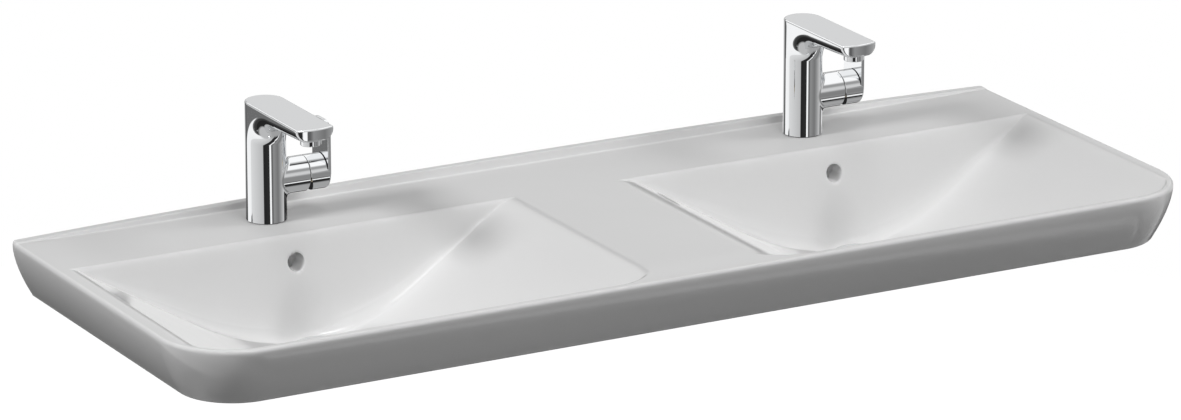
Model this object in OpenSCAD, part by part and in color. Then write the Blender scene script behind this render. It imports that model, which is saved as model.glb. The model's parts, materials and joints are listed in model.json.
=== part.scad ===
// Wall-hung double washbasin in glazed ceramic, with two side-lever mixers and push-open wastes.
// Origin: middle of the wall face at rim level. +X along the wall, +Y into the wall, +Z up.

/* [Basin] */
// Overall width along the wall
basin_w = 1300; // [1200:10:1500]
// Depth from the wall face to the front rim
basin_d = 485; // [470:5:540]
// Height of the skirt below the rim
skirt_h = 68; // [62:1:90]
// How far the skirt draws in at its lower edge
skirt_inset = 24; // [12:1:30]
// Plan radius of the front corners
front_corner_r = 90; // [75:1:110]
// Plan radius of the rear corners
rear_corner_r = 8; // [5:1:12]
// Radius of the rim's outer edge
rim_edge_r = 4.5; // [3:0.5:6]
// Width of the rim beside the bowls
rim_w = 13; // [10:1:18]
// How far the tap shelf lies below the rim
deck_drop = 0.5; // [0.5:0.5:5]
// Width over which the shelf rises to the rim
deck_blend = 45; // [25:1:60]
// Thickness of the ceramic
wall_t = 11; // [9:0.5:13]
// Thickness of the back plate
back_t = 12; // [11:0.5:15]
// Width of the skirt's lower lip
lip_w = 10; // [8:0.5:12]

/* [Upstand] */
// Height of the rear upstand above the rim, in the middle
upstand_h = 9; // [5:0.5:14]
// Height of the rear upstand above the rim, at its ends
upstand_end = 1; // [0.5:0.5:3]
// Depth of the upstand from the wall face to its foot
upstand_d = 15; // [12:0.5:20]

/* [Bowls] */
// Width of the bridge between the two bowls
bridge_w = 154; // [130:2:180]
// Rear edge of the bowls, from the wall face
bowl_rear = 131; // [126:1:140]
// Depth of the bowls below the rim
bowl_depth = 116; // [108:1:120]
// Slope of the bowls' sides, in degrees
side_angle = 30; // [27:0.5:32]
// Slope of the bowls' rear walls, in degrees
rear_angle = 75; // [72:0.5:78]
// Slope of the bowls' front walls, in degrees
front_angle = 62; // [55:1:68]
// Rise of the bowls' floor from the waste towards the front, in degrees
floor_angle = 19; // [17:0.5:22]
// Plan radius of the bowls' front corners
bowl_corner_r = 68; // [55:1:74]
// Diameter of the overflow holes
overflow_dia = 21.5; // [16:0.5:23]
// Depth of the overflow holes below the rim
overflow_drop = 31.5; // [29:0.5:40]
// Distance from the wall face to the wastes
drain_y = 200; // [196:1:206]
// Diameter of the holes for the wastes
drain_dia = 46; // [45:0.5:48]

/* [Wall fixing] */
// Spacing of the two fixing holes behind each bowl
fixing_pitch = 280; // [260:5:300]
// Depth of the fixing holes below the rim
fixing_drop = 45; // [42:1:47]
// Diameter of the fixing holes in the ceramic
fixing_hole_dia = 22; // [18:0.5:24]
// Diameter of the wall's studs
wall_stud_dia = 10; // [8:2:12]

/* [Mixers] */
// Distance from the wall face to the mixers' axis
tap_y = 63; // [60:1:68]
// Diameter of the mixer's body
tap_dia = 47; // [45:0.5:50]
// Height of the mixer above the shelf
tap_h = 142; // [130:1:160]
// Distance from the body's axis to the tip of the spout
spout_reach = 133; // [115:1:145]
// Thickness of the spout at its tip
spout_tip_t = 15; // [13.5:0.5:17]
// Thickness of the spout at the body
spout_root_t = 20; // [18:0.5:24]
// Radius of the spout's lower edges
spout_edge_r = 12.5; // [9:0.5:13]
// Diameter of the tap holes in the shelf
tap_hole_dia = 35; // [34:0.5:36]
// Diameter of the cartridge housing and the lever cap
housing_dia = 42; // [38:0.5:43]
// Height of the lever's turning axis above the shelf
lever_axis_h = 48.5; // [42:0.5:55]
// Distance from the body's axis to the end of the housing
housing_end = 47; // [46:0.5:52]
// Gap between the housing and the lever cap
seam = 0.8; // [0.7:0.1:1.2]
// Length of the lever cap with its blade
cap_len = 25.6; // [22:0.2:28]
// Thickness of the lever's blade
blade_t = 3; // [2.5:0.1:3.5]
// Width of the lever's blade
blade_w = 41; // [30:0.5:41]
// Height of the blade's top above the turning axis
blade_h = 62.5; // [50:0.5:66]
// Width of the slot between the blade and the cap
blade_slot = 2; // [1.5:0.1:2.5]
// Angle of the relief under the lever cap, in degrees
relief_angle = 17.5; // [17:0.5:20]
// Diameter of the aerator
aerator_dia = 24; // [22:0.5:25]

/* [Wastes] */
// Diameter of the waste's flange
flange_dia = 64; // [60:0.5:66]
// Diameter of the waste's threaded tail
tail_dia = 41.9; // [40:0.1:42]
// Bore of the waste's tail
tail_bore = 35; // [33:0.5:36]
// Length of the tail below the ceramic
tail_len = 19.5; // [18:0.5:26]
// Travel of the push-open plug
plug_travel = 8; // [6:0.5:9]

/* [Hidden] */

$fn = 64;

// One overrun serves every cut.
over = 1;
// Clearance all round where one turning or sliding piece runs in another.
run_fit = 0.05;

// Bowl layout
bowl_outer = basin_w / 2 - rim_w;
bowl_inner = bridge_w / 2;
bowl_x = (bowl_outer + bowl_inner) / 2;
bowl_half = (bowl_outer - bowl_inner) / 2;
bowl_front = basin_d - rim_w;
bridge_round = 20;
outer_round = 7;
edge_blend = 8;
side_slope = tan(side_angle);
rear_slope = tan(rear_angle);
front_slope = tan(front_angle);
floor_slope = tan(floor_angle);
vee_depth = side_slope * (bowl_half - outer_round);
floor_blend = 4 * (vee_depth + deck_drop - bowl_depth);
crease_share = 0.5;
toe_share = 0.7;
seat_margin = 8;
floor_start = drain_y + flange_dia / 2 + seat_margin;
toe_blend_share = 0.35;
crown_power = 2.4;
inset_power = 1.6;
upstand_run = 4;
rear_edge_r = 2;

// Waste seat and overflow duct
seat_gap = 2;
seat_r = flange_dia / 2 + seat_gap;
seat_fade = 24;
boss_wall = 17;
boss_r = drain_dia / 2 + boss_wall;
boss_h = 18;
boss_bottom = -bowl_depth - boss_h;
duct_bore = 11;
duct_wall = 5;
duct_clear = 2;
bulge_shift = 8;
duct_y = bowl_rear - bulge_shift - duct_clear - duct_bore / 2;
duct_low = -bowl_depth - boss_h / 2 - duct_clear / 2;
collar_r = overflow_dia / 2 + duct_wall;
collar_end = bowl_rear + overflow_drop / rear_slope - wall_t / 2;

// Wall fixing
sleeve_fit = 0.1;
sleeve_flange = 3;
sleeve_flange_w = 4;
sleeve_flange_r = fixing_hole_dia / 2 + sleeve_flange_w;
stud_clear = 0.2;
washer_t = 2;
washer_step = 3;
washer_r = sleeve_flange_r - washer_step;
nut_h_share = 0.8;
nut_af_share = 1.7;
wall_nut_h = nut_h_share * wall_stud_dia;
wall_nut_af = nut_af_share * wall_stud_dia;

// Mixer
deck_z = -deck_drop;
deck_under = deck_z - wall_t;
tap_r = tap_dia / 2;
spout_bevel = 1;
spout_nose = 1.5;
neck_r = 30;
housing_r = housing_dia / 2;
gasket_t = 0.8;
gasket_step = 0.7;
gasket_w = 4.5;
waterway_r = 5;
spout_water_r = 4;
spout_water_drop = 9;
inlet_r = 4.5;
inlet_y = 8;
port_r = 2.25;
port_z = 9;
stud_r = 3;
stud_x = 12.5;
stud_in = 9;
stud_out = 3;
aerator_back = 16.5;
aerator_y = spout_reach - aerator_back;
aerator_proud = 4;
aerator_up = 5.5;
aerator_rim = 2;
aerator_step = 1;
aerator_net_t = 2;
aerator_net_up = 0.8;
jet_r = 0.7;

// Cartridge, stem and lever, from the body's axis outwards along +X
cart_r = 14;
cart_start = 14;
cart_nut_t = 6;
cart_nut_in = 1;
cart_nut_step = 1.5;
cart_face = housing_end - cart_nut_t - cart_nut_in;
cart_nut_r = cart_r + cart_nut_step;
cart_nut_hole = 8.2;
carrier_r = 9;
carrier_len = 11.5;
carrier_gap = 0.3;
carrier_end = cart_face - carrier_gap;
carrier_start = carrier_end - carrier_len;
carrier_floor = 2.5;
stem_r = 3.5;
stem_slot_clear = 0.4;
pin_r = 1.5;
pin_in = 0.5;
pin_len = 2 * (carrier_r - pin_in);
pivot_in = 12;
pivot_x = housing_end - pivot_in;
stem_eye_r = 3.4;
stem_out = 17;
stem_end = housing_end + stem_out;
cap_start = housing_end + seam;
cap_end = cap_start + cap_len;
cap_cavity_r = 14.5;
cap_cavity_out = 9;
cap_cavity_end = housing_end + cap_cavity_out;
cap_edge_r = 2.5;
slot_floor = 6;
blade_corner_r = 12;
screw_r = 2;
screw_out = 13.5;
screw_x = housing_end + screw_out;

// Clamping below the shelf
clamp_r = 24;
clamp_rubber_t = 2;
clamp_rubber_hole = 15.6;
clamp_plate_t = 2.5;
clamp_plate_step = 1.5;
hose_clear = 1.5;
clamp_z = deck_under - clamp_rubber_t;
clamp_low = clamp_z - clamp_plate_t;
stud_nut_h = 6;
stud_nut_af = 10;

// Waste, from the seat upwards and downwards
seal_t = 1.2;
flange_t = 2.8;
flange_z = -bowl_depth + seal_t;
flange_top = flange_z + flange_t;
flange_edge = 1.2;
tail_r = tail_dia / 2;
tail_low = boss_bottom - tail_len;
relief_w = 1;
relief_cut = 0.6;
cup_step = 4;
cup_r = tail_bore / 2 + cup_step;
cup_floor = 0.6;
plug_seal_t = 0.8;
plug_gap = 0.4;
plug_crown = 1;
plug_head_t = 1.8;
plug_z = flange_z + cup_floor + plug_seal_t;
plug_stem_r = 4;
guide_r = 6.5;
guide_boss_r = 9;
guide_hold = 6;
guide_len = plug_travel + guide_hold;
guide_rise = 6;
guide_z = tail_low + guide_rise;
guide_web_h = 5;
guide_arm_w = 4;
window_w = 14;
window_h = 9;
under_seal_t = 2.5;
under_seal_r = 29;
waste_nut_h = 6.5;
waste_nut_af = 52;
outlet_len = tail_len - under_seal_t - waste_nut_h - relief_w;

ceramic_c = [0.93, 0.93, 0.93];
chrome_c = [0.75, 0.77, 0.79];
brass_c = [0.80, 0.66, 0.36];
rubber_c = [0.15, 0.15, 0.16];
plastic_c = [0.88, 0.88, 0.85];
steel_c = [0.62, 0.63, 0.65];

// Helpers

function clamp01(t) = min(1, max(0, t));
function ease(t) = let (c = clamp01(t)) c * c * (3 - 2 * c);
function blend_up(a, b, k) = max(a, b) + (k > 0 ? pow(max(k - abs(a - b), 0), 2) / (4 * k) : 0);
function blend_down(a, b, k) = -blend_up(-a, -b, k);
function fall_off(d, r) = d >= r ? 0 : r - sqrt(max(0, r * r - pow(r - max(0, d), 2)));
function flat(lists) = [for (l = lists) for (v = l) v];
function reversed(l) = [for (i = [len(l) - 1:-1:0]) l[i]];

// Inward distance from the plan outline, past its sides and its rounded front corners.
function rim_distance(x, y) =
  let (
    ex = front_corner_r - (basin_w / 2 - abs(x)),
    ey = front_corner_r - (basin_d + y)
  )
  ex > 0 && ey > 0 ? front_corner_r - sqrt(ex * ex + ey * ey) : front_corner_r - max(ex, ey);

// Height of the shelf with its rim and upstand, before the bowls are scooped out.
function shelf_z(x, y) =
  let (
    deck = -deck_drop * ease((rim_distance(x, y) - rim_w) / deck_blend),
    crown = 1 - pow(min(1, abs(2 * x / basin_w)), crown_power),
    top = upstand_end + (upstand_h - upstand_end) * crown
  )
  deck + (top - deck) * ease((y + upstand_d) / upstand_run);

// Set-back of a bowl's front boundary where its corners are rounded.
function corner_setback(e) =
  let (t = min(bowl_corner_r, max(0, bowl_corner_r - e)))
  bowl_corner_r - sqrt(bowl_corner_r * bowl_corner_r - t * t);

// The two side slopes of a bowl, run together in a wide round valley.
function vee_z(u) = blend_up(
  blend_down(0, side_slope * (bowl_inner + outer_round - u), side_slope * bridge_round),
  blend_down(0, side_slope * (u - bowl_outer + outer_round), side_slope * outer_round),
  floor_blend
);

// Depth of a bowl as a negative number. Grow moves its rear and front walls outwards.
function bowl_z(x, y, grow = 0) =
  let (
    u = abs(x),
    vee = vee_z(u),
    floor_z = deck_drop - bowl_depth,
    ramp = min(0, floor_z - floor_slope * (y + floor_start)),
    sides = blend_up(vee, ramp, toe_blend_share * -max(vee, ramp)),
    rear = blend_down(0, rear_slope * (y + bowl_rear - grow), edge_blend),
    edge = min(u - bowl_inner + bridge_round, bowl_outer - u),
    ahead = bowl_front + y - corner_setback(edge) + grow,
    front = blend_down(0, -front_slope * ahead, edge_blend),
    back = blend_up(sides, rear, crease_share * -max(sides, rear)),
    all_round = blend_up(back, front, toe_share * -max(back, front)),
    away = norm([u - bowl_x, y + drain_y])
  )
  floor_z + (all_round - floor_z) * ease((away - seat_r) / seat_fade);

function top_z(x, y, back) =
  shelf_z(x, y) + bowl_z(x, y) - fall_off(rim_distance(x, y), rim_edge_r) - fall_off(back, rear_edge_r);

// Height of the ceramic's underside behind the skirt.
function under_z(x, y) = min(shelf_z(x, min(y, -upstand_d)), 0) - wall_t + bowl_z(x, y, bulge_shift);

// Plan grid. Columns run from the left end to the right, rows from the wall to the front.
bridge_shares = [-0.7, -0.35, 0, 0.4, 0.9, 1.6];
span_shares = [0.1, 0.16, 0.23, 0.30, 0.37, 0.44, 0.5, 0.56, 0.63, 0.70, 0.77, 0.83];
corner_angles = [0, 16, 32, 46, 58, 68, 75, 82, 90];
half_columns = concat(
  [0],
  [for (s = bridge_shares) bowl_inner + s * bridge_round],
  [for (s = span_shares) min(bowl_inner + 2 * s * bowl_half, basin_w / 2 - front_corner_r - over)]
);

function column_x(inset) =
  let (
    r = front_corner_r - inset,
    half = concat(half_columns, [for (a = corner_angles) basin_w / 2 - front_corner_r + r * sin(a)])
  )
  concat([for (x = reversed(half)) -x], [for (i = [1:len(half) - 1]) half[i]]);

function front_y(x, inset) =
  let (
    r = front_corner_r - inset,
    e = min(r, max(0, abs(x) - (basin_w / 2 - front_corner_r)))
  )
  -(basin_d - front_corner_r) - sqrt(r * r - e * e);

function rear_y(x, inset) =
  let (e = min(rear_corner_r, max(0, abs(x) - (basin_w / 2 - inset - rear_corner_r))))
  -(rear_corner_r - sqrt(rear_corner_r * rear_corner_r - e * e));

// Rows cross the shelf, go down the rear wall to its foot, and close up towards the front rim.
split_share = 0.62;
split_y = split_share * basin_d;
shelf_rows = [
  0, rear_edge_r / 2, rear_edge_r, upstand_d - upstand_run, upstand_d - 2 * upstand_run / 3,
  upstand_d - upstand_run / 3, upstand_d, tap_y,
];
wall_shares = [0, 0.1, 0.3, 0.6, 0.85, 1.05, 1.3, 1.7];
floor_shares = [0.25, 0.6, 1];
front_shares = [0.25, 0.48, 0.66, 0.79, 0.875, 0.92, 0.95, 0.98, 0.994, 1];
least_foot = 6;
cols = 2 * (len(half_columns) + len(corner_angles)) - 1;
rows = len(shelf_rows) + 1 + len(wall_shares) + len(floor_shares) + len(front_shares);

// Distances of the rows from the wall, down to the split, for one column.
function rear_rows(x, grow) =
  let (
    edge = bowl_rear - grow,
    foot = max(least_foot, -vee_z(abs(x)) / rear_slope),
    low = edge + wall_shares[len(wall_shares) - 1] * foot
  )
  concat(
    shelf_rows,
    [edge - edge_blend / rear_slope],
    [for (s = wall_shares) edge + s * foot],
    [for (s = floor_shares) low + s * (split_y - low)]
  );

// One grid, given how far its sides and its rear stand in from the outline.
function grid(inset, rear_inset, grow = 0) = [
  for (x = column_x(inset))
    let (y0 = rear_y(x, inset) - rear_inset, y1 = front_y(x, inset))
    concat(
      [for (d = rear_rows(x, grow)) [x, y0 * max(0, 1 - d / tap_y) - d]],
      [for (s = front_shares) [x, -split_y + s * (y1 + split_y)]]
    )
];

function edge_walk(g) = concat(
  [for (r = [0:rows - 1]) g[0][r]],
  [for (c = [1:cols - 1]) g[c][rows - 1]],
  [for (r = [rows - 2:-1:0]) g[cols - 1][r]],
  [for (c = [cols - 2:-1:1]) g[c][0]]
);

function at_height(ring, z) = [for (p = ring) [p[0], p[1], z]];

function patch_index(c, r) = c * rows + r;

function patch_faces(first, up) = flat([
  for (c = [0:cols - 2])
    for (r = [0:rows - 2])
      let (
        a = first + patch_index(c, r),
        b = first + patch_index(c + 1, r),
        d = first + patch_index(c, r + 1),
        e = first + patch_index(c + 1, r + 1)
      )
      up ? [[a, b, e], [a, e, d]] : [[a, e, b], [a, d, e]]
]);

edge_index = concat(
  [for (r = [0:rows - 1]) patch_index(0, r)],
  [for (c = [1:cols - 1]) patch_index(c, rows - 1)],
  [for (r = [rows - 2:-1:0]) patch_index(cols - 1, r)],
  [for (c = [cols - 2:-1:1]) patch_index(c, 0)]
);

function strip_faces(a, b) = flat([
  for (i = [0:len(a) - 1])
    let (j = (i + 1) % len(a))
    [[a[i], a[j], b[j]], [a[i], b[j], b[i]]]
]);

function run_of(first, n) = [for (i = [0:n - 1]) first + i];

// The ceramic without its holes: top surface, skirt, lip and underside as one closed skin.
skirt_shares = [0.25, 0.5, 0.75, 1];

module ceramic_skin() {
  top_grid = grid(0, 0);
  low_grid = grid(skirt_inset + lip_w, back_t, bulge_shift);
  top = [
    for (c = [0:cols - 1])
      for (r = [0:rows - 1])
        let (p = top_grid[c][r])
        [p[0], p[1], top_z(p[0], p[1], rear_y(p[0], 0) - p[1])]
  ];
  n = len(edge_index);
  rings = flat([
    for (s = skirt_shares)
      at_height(edge_walk(grid(skirt_inset * pow(s, inset_power), 0)), -skirt_h * s)
  ]);
  under = [
    for (c = [0:cols - 1])
      for (r = [0:rows - 1])
        let (
          p = low_grid[c][r == 1 ? 0 : r],
          rim = c == 0 || r == 0 || c == cols - 1 || r == rows - 1
        )
        [p[0], p[1], rim ? -skirt_h : max(under_z(p[0], p[1]), boss_bottom)]
  ];
  ring_first = len(top);
  under_first = ring_first + len(rings);
  levels = len(skirt_shares);
  polyhedron(
    points = concat(top, rings, under),
    faces = concat(
      patch_faces(0, true),
      strip_faces(edge_index, run_of(ring_first, n)),
      flat([
        for (l = [0:levels - 2])
          strip_faces(run_of(ring_first + l * n, n), run_of(ring_first + (l + 1) * n, n))
      ]),
      strip_faces(run_of(ring_first + (levels - 1) * n, n), [for (i = edge_index) under_first + i]),
      patch_faces(under_first, false)
    ),
    convexity = 10
  );
}

// Places its children at both bowls' centre lines.
module at_bowls() {
  for (side = [-1, 1])
    translate([side * bowl_x, 0, 0])
      children();
}

module along_y(r, from_y, to_y) {
  translate([0, -from_y, 0])
    rotate([90, 0, 0])
      cylinder(r = r, h = to_y - from_y);
}

module along_x(r, from_x, to_x) {
  translate([from_x, 0, 0])
    rotate([0, 90, 0])
      cylinder(r = r, h = to_x - from_x);
}

module ring(r, hole, h) {
  difference() {
    cylinder(r = r, h = h);
    translate([0, 0, -over])
      cylinder(r = hole, h = h + 2 * over);
  }
}

module hex_nut(af, h, hole) {
  difference() {
    cylinder(r = af / sqrt(3), h = h, $fn = 6);
    translate([0, 0, -over])
      cylinder(r = hole, h = h + 2 * over);
  }
}

// The thick ring under each bowl that carries the waste, with the duct that reaches it.
module waste_boss() {
  translate([0, -drain_y, boss_bottom])
    cylinder(r = boss_r, h = boss_h - over);
  duct_out = duct_bore / 2 + duct_wall;
  translate([-duct_out, -drain_y, boss_bottom])
    cube([2 * duct_out, drain_y - duct_y + duct_out, boss_h - duct_clear]);
  translate([-duct_out, -duct_y - duct_out, boss_bottom])
    cube([2 * duct_out, 2 * duct_out, deck_under - boss_bottom + over]);
  // The collar round the overflow hole reaches from the duct into the bowl's wall.
  translate([0, 0, -overflow_drop])
    along_y(collar_r, duct_y - duct_wall, collar_end);
}

module bowl_holes() {
  translate([0, -drain_y, boss_bottom - over])
    cylinder(r = drain_dia / 2, h = boss_h + 2 * over);
  translate([0, -drain_y, -bowl_depth])
    cylinder(r = seat_r, h = boss_h);
  translate([0, 0, -overflow_drop])
    along_y(overflow_dia / 2, duct_y, bowl_rear + 2 * bulge_shift);
  translate([0, -duct_y, duct_low])
    cylinder(r = duct_bore / 2, h = -overflow_drop - duct_low);
  translate([0, 0, duct_low])
    along_y(duct_bore / 2, duct_y - duct_bore / 2, drain_y);
}

module at_fixings() {
  at_bowls()
    for (side = [-1, 1])
      translate([side * fixing_pitch / 2, 0, -fixing_drop])
        children();
}

module ceramic_basin() {
  color(ceramic_c)
    difference() {
      union() {
        ceramic_skin();
        at_bowls()
          waste_boss();
      }
      at_bowls()
        bowl_holes();
      at_bowls()
        translate([0, -tap_y, deck_under - over])
          cylinder(r = tap_hole_dia / 2, h = wall_t + 2 * over);
      at_fixings()
        along_y(fixing_hole_dia / 2, -over, back_t + over);
    }
}

// Wall fixing

module wall_sleeves() {
  color(plastic_c)
    at_fixings()
      difference() {
        union() {
          along_y(fixing_hole_dia / 2 - sleeve_fit, 0, back_t);
          along_y(sleeve_flange_r, back_t, back_t + sleeve_flange);
        }
        along_y(wall_stud_dia / 2 + stud_clear, -over, back_t + sleeve_flange + over);
      }
}

module wall_washers() {
  color(steel_c)
    at_fixings()
      translate([0, -back_t - sleeve_flange, 0])
        rotate([90, 0, 0])
          ring(washer_r, wall_stud_dia / 2 + stud_clear, washer_t);
}

module wall_nuts() {
  color(steel_c)
    at_fixings()
      translate([0, -back_t - sleeve_flange - washer_t, 0])
        rotate([90, 0, 0])
          hex_nut(wall_nut_af, wall_nut_h, wall_stud_dia / 2);
}

// Mixer, drawn about the middle of its tap hole at shelf level

module at_tap(side) {
  translate([side * bowl_x, -tap_y, deck_z])
    children();
}

module at_lever(side) {
  at_tap(side)
    translate([0, 0, lever_axis_h])
      children();
}

spout_section_shares = [
  [0, 0.16], [0.14, 0.22], [0.27, 0.5], [0.40, 0.8], [0.58, 1], [0.80, 1], [1, 1],
];
edge_steps = 5;

function spout_under(y) = tap_h - spout_root_t + (spout_root_t - spout_tip_t) * y / spout_reach;

// Outline of the spout seen from its tip, narrowed all round by trim.
function spout_outline(y, r_share, trim) =
  let (
    w = tap_r - trim,
    low = spout_under(y) + trim,
    top = tap_h - trim,
    r = max(spout_bevel, r_share * spout_edge_r)
  )
  concat(
    [[-w, top - spout_bevel], [-w + spout_bevel, top], [w - spout_bevel, top], [w, top - spout_bevel]],
    [for (i = [0:edge_steps]) let (a = 90 * i / edge_steps) [w - r + r * cos(a), low + r - r * sin(a)]],
    [for (i = [edge_steps:-1:0]) let (a = 90 * i / edge_steps) [-w + r - r * cos(a), low + r - r * sin(a)]]
  );

module spout_arm() {
  body = [
    for (s = spout_section_shares)
      let (y = s[0] * (spout_reach - spout_nose))
      [for (p = spout_outline(y, s[1], 0)) [p[0], -y, p[1]]]
  ];
  nose = [for (p = spout_outline(spout_reach, 1, spout_nose / 2)) [p[0], -spout_reach, p[1]]];
  loops = concat(body, [nose]);
  n = len(nose);
  polyhedron(
    points = flat(loops),
    faces = concat(
      flat([for (l = [0:len(loops) - 2]) strip_faces(run_of(l * n, n), run_of((l + 1) * n, n))]),
      [reversed(run_of(0, n)), run_of((len(loops) - 1) * n, n)]
    ),
    convexity = 4
  );
}

// Concave sweep between the body and the spout's underside.
module spout_neck() {
  neck_z = spout_under(tap_r + neck_r);
  intersection() {
    rotate_extrude()
      difference() {
        translate([0, neck_z - neck_r])
          square([tap_r + neck_r, neck_r + spout_bevel]);
        translate([tap_r + neck_r, neck_z - neck_r])
          circle(r = neck_r);
      }
    translate([-tap_r, -tap_r - neck_r, 0])
      cube([2 * tap_r, tap_r + neck_r, tap_h]);
  }
}

module tap_casting() {
  translate([0, 0, gasket_t])
    cylinder(r = tap_r, h = tap_h - gasket_t - spout_bevel);
  translate([0, 0, tap_h - spout_bevel])
    cylinder(r1 = tap_r, r2 = tap_r - spout_bevel, h = spout_bevel);
  spout_arm();
  spout_neck();
  translate([0, 0, lever_axis_h])
    along_x(housing_r, 0, housing_end);
}

// The cartridge's three ports: two that bring water in and one that lets the mix out.
module ports(from_x, to_x) {
  for (p = [[-inlet_y, 0], [inlet_y, 0], [0, port_z]])
    translate([0, p[0], p[1]])
      along_x(port_r, from_x, to_x);
}

module tap_waterways() {
  water_z = tap_h - spout_water_drop;
  aerator_z = spout_under(aerator_y);
  translate([0, 0, lever_axis_h]) {
    along_x(cart_r, cart_start, cart_face);
    along_x(cart_nut_r, cart_face, housing_end + over);
  }
  translate([0, 0, lever_axis_h + port_z - port_r])
    cylinder(r = waterway_r, h = water_z - lever_axis_h - port_z + port_r);
  translate([0, 0, lever_axis_h])
    ports(0, cart_start + over);
  translate([0, 0, water_z])
    along_y(spout_water_r, 0, aerator_y);
  translate([0, -aerator_y, aerator_z - over])
    cylinder(r = aerator_dia / 2 - aerator_step, h = aerator_up + over);
  translate([0, -aerator_y, aerator_z - aerator_proud])
    cylinder(r = aerator_dia / 2 + run_fit, h = aerator_proud);
  translate([0, -aerator_y, aerator_z])
    cylinder(r = spout_water_r, h = water_z - aerator_z);
  for (side = [-1, 1]) {
    translate([0, side * inlet_y, 0])
      cylinder(r = inlet_r, h = lever_axis_h);
    translate([side * stud_x, 0, 0])
      cylinder(r = stud_r, h = stud_in + gasket_t);
  }
}

module tap_body(side) {
  color(chrome_c)
    at_tap(side)
      difference() {
        tap_casting();
        tap_waterways();
      }
}

module base_gasket(side) {
  color(rubber_c)
    at_tap(side)
      ring(tap_r - gasket_step, tap_r - gasket_step - gasket_w, gasket_t);
}

module cartridge(side) {
  color(plastic_c)
    at_lever(side)
      difference() {
        along_x(cart_r, cart_start, cart_face);
        along_x(carrier_r + run_fit, carrier_start - carrier_gap, cart_face + over);
        ports(cart_start - over, carrier_start);
      }
}

module cartridge_nut(side) {
  color(brass_c)
    at_lever(side)
      translate([cart_face, 0, 0])
        rotate([0, 90, 0])
          ring(cart_nut_r, cart_nut_hole, cart_nut_t);
}

// The carrier turns with the lever for warm and cold, and the stem tips in its slot.
module stem_carrier(side) {
  slot_w = 2 * (stem_r + stem_slot_clear);
  color(plastic_c)
    at_lever(side)
      difference() {
        along_x(carrier_r, carrier_start, carrier_end);
        translate([carrier_start + carrier_floor, -slot_w / 2, -carrier_r - over])
          cube([carrier_len, slot_w, 2 * (carrier_r + over)]);
        translate([pivot_x, 0, 0])
          along_y(pin_r, -carrier_r - over, carrier_r + over);
      }
}

module lever_pin(side) {
  color(steel_c)
    at_lever(side)
      translate([pivot_x, 0, 0])
        along_y(pin_r, -pin_len / 2, pin_len / 2);
}

module lever_stem(side) {
  color(steel_c)
    at_lever(side)
      difference() {
        union() {
          along_x(stem_r, pivot_x, stem_end);
          translate([pivot_x, 0, 0])
            along_y(stem_eye_r, -stem_r, stem_r);
        }
        translate([pivot_x, 0, 0])
          along_y(pin_r + run_fit, -stem_r - over, stem_r + over);
      }
}

module blade() {
  translate([cap_end - blade_t, 0, 0])
    rotate([90, 0, 90])
      linear_extrude(blade_t)
        union() {
          translate([-blade_w / 2, 0])
            square([blade_w, blade_h - blade_corner_r]);
          translate([-blade_w / 2 + blade_corner_r, 0])
            square([blade_w - 2 * blade_corner_r, blade_h]);
          for (s = [-1, 1])
            translate([s * (blade_w / 2 - blade_corner_r), blade_h - blade_corner_r])
              circle(r = blade_corner_r);
        }
}

module cap() {
  difference() {
    translate([cap_start, 0, 0])
      rotate([90, 0, 90])
        rotate_extrude()
          union() {
            square([housing_r, cap_len - cap_edge_r]);
            square([housing_r - cap_edge_r, cap_len]);
            translate([housing_r - cap_edge_r, cap_len - cap_edge_r])
              circle(r = cap_edge_r);
          }
    translate([cap_end - blade_t - blade_slot, -housing_r - over, slot_floor])
      cube([blade_slot + blade_t + over, 2 * (housing_r + over), housing_r]);
  }
}

module lever(side) {
  color(chrome_c)
    at_lever(side)
      difference() {
        union() {
          cap();
          blade();
        }
        along_x(cap_cavity_r, cap_start - over, cap_cavity_end);
        along_x(stem_r, cap_cavity_end - over, stem_end);
        translate([cap_start, -housing_r - over, 0])
          rotate([0, 90 - relief_angle, 0])
            translate([0, 0, -housing_dia])
              cube([2 * housing_r, 2 * (housing_r + over), housing_dia]);
        translate([screw_x, 0, -housing_r - over])
          cylinder(r = screw_r, h = housing_r + over);
      }
}

module lever_screw(side) {
  color(steel_c)
    at_lever(side)
      translate([screw_x, 0, -housing_r + screw_r])
        cylinder(r = screw_r, h = housing_r - screw_r - stem_r);
}

module aerator_housing(side) {
  color(chrome_c)
    at_tap(side)
      translate([0, -aerator_y, spout_under(aerator_y)])
        difference() {
          union() {
            translate([0, 0, -aerator_proud])
              cylinder(r = aerator_dia / 2, h = aerator_proud);
            cylinder(r = aerator_dia / 2 - aerator_step, h = aerator_up);
          }
          translate([0, 0, -aerator_proud - over])
            cylinder(r = aerator_dia / 2 - aerator_rim, h = aerator_proud + aerator_up - aerator_rim + over);
          cylinder(r = spout_water_r, h = aerator_up + over);
        }
}

module aerator_insert(side) {
  net_r = aerator_dia / 2 - aerator_rim;
  color(plastic_c)
    at_tap(side)
      translate([0, -aerator_y, spout_under(aerator_y) - aerator_proud + aerator_net_up])
        difference() {
          cylinder(r = net_r, h = aerator_net_t);
          for (lap = [1, 2], i = [0:6 * lap - 1])
            rotate([0, 0, 60 * i / lap])
              translate([lap * net_r / 3, 0, -over])
                cylinder(r = jet_r, h = aerator_net_t + 2 * over);
        }
}

module clamp_rubber(side) {
  color(rubber_c)
    at_tap(side)
      translate([0, 0, clamp_z - deck_z])
        ring(clamp_r, clamp_rubber_hole, clamp_rubber_t);
}

module clamp_plate(side) {
  color(steel_c)
    at_tap(side)
      translate([0, 0, clamp_low - deck_z])
        difference() {
          cylinder(r = clamp_r - clamp_plate_step, h = clamp_plate_t);
          for (y = [-inlet_y, inlet_y])
            translate([0, y, -over])
              cylinder(r = inlet_r + hose_clear, h = clamp_plate_t + 2 * over);
          for (x = [-stud_x, stud_x])
            translate([x, 0, -over])
              cylinder(r = stud_r + stud_clear, h = clamp_plate_t + 2 * over);
        }
}

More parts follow.
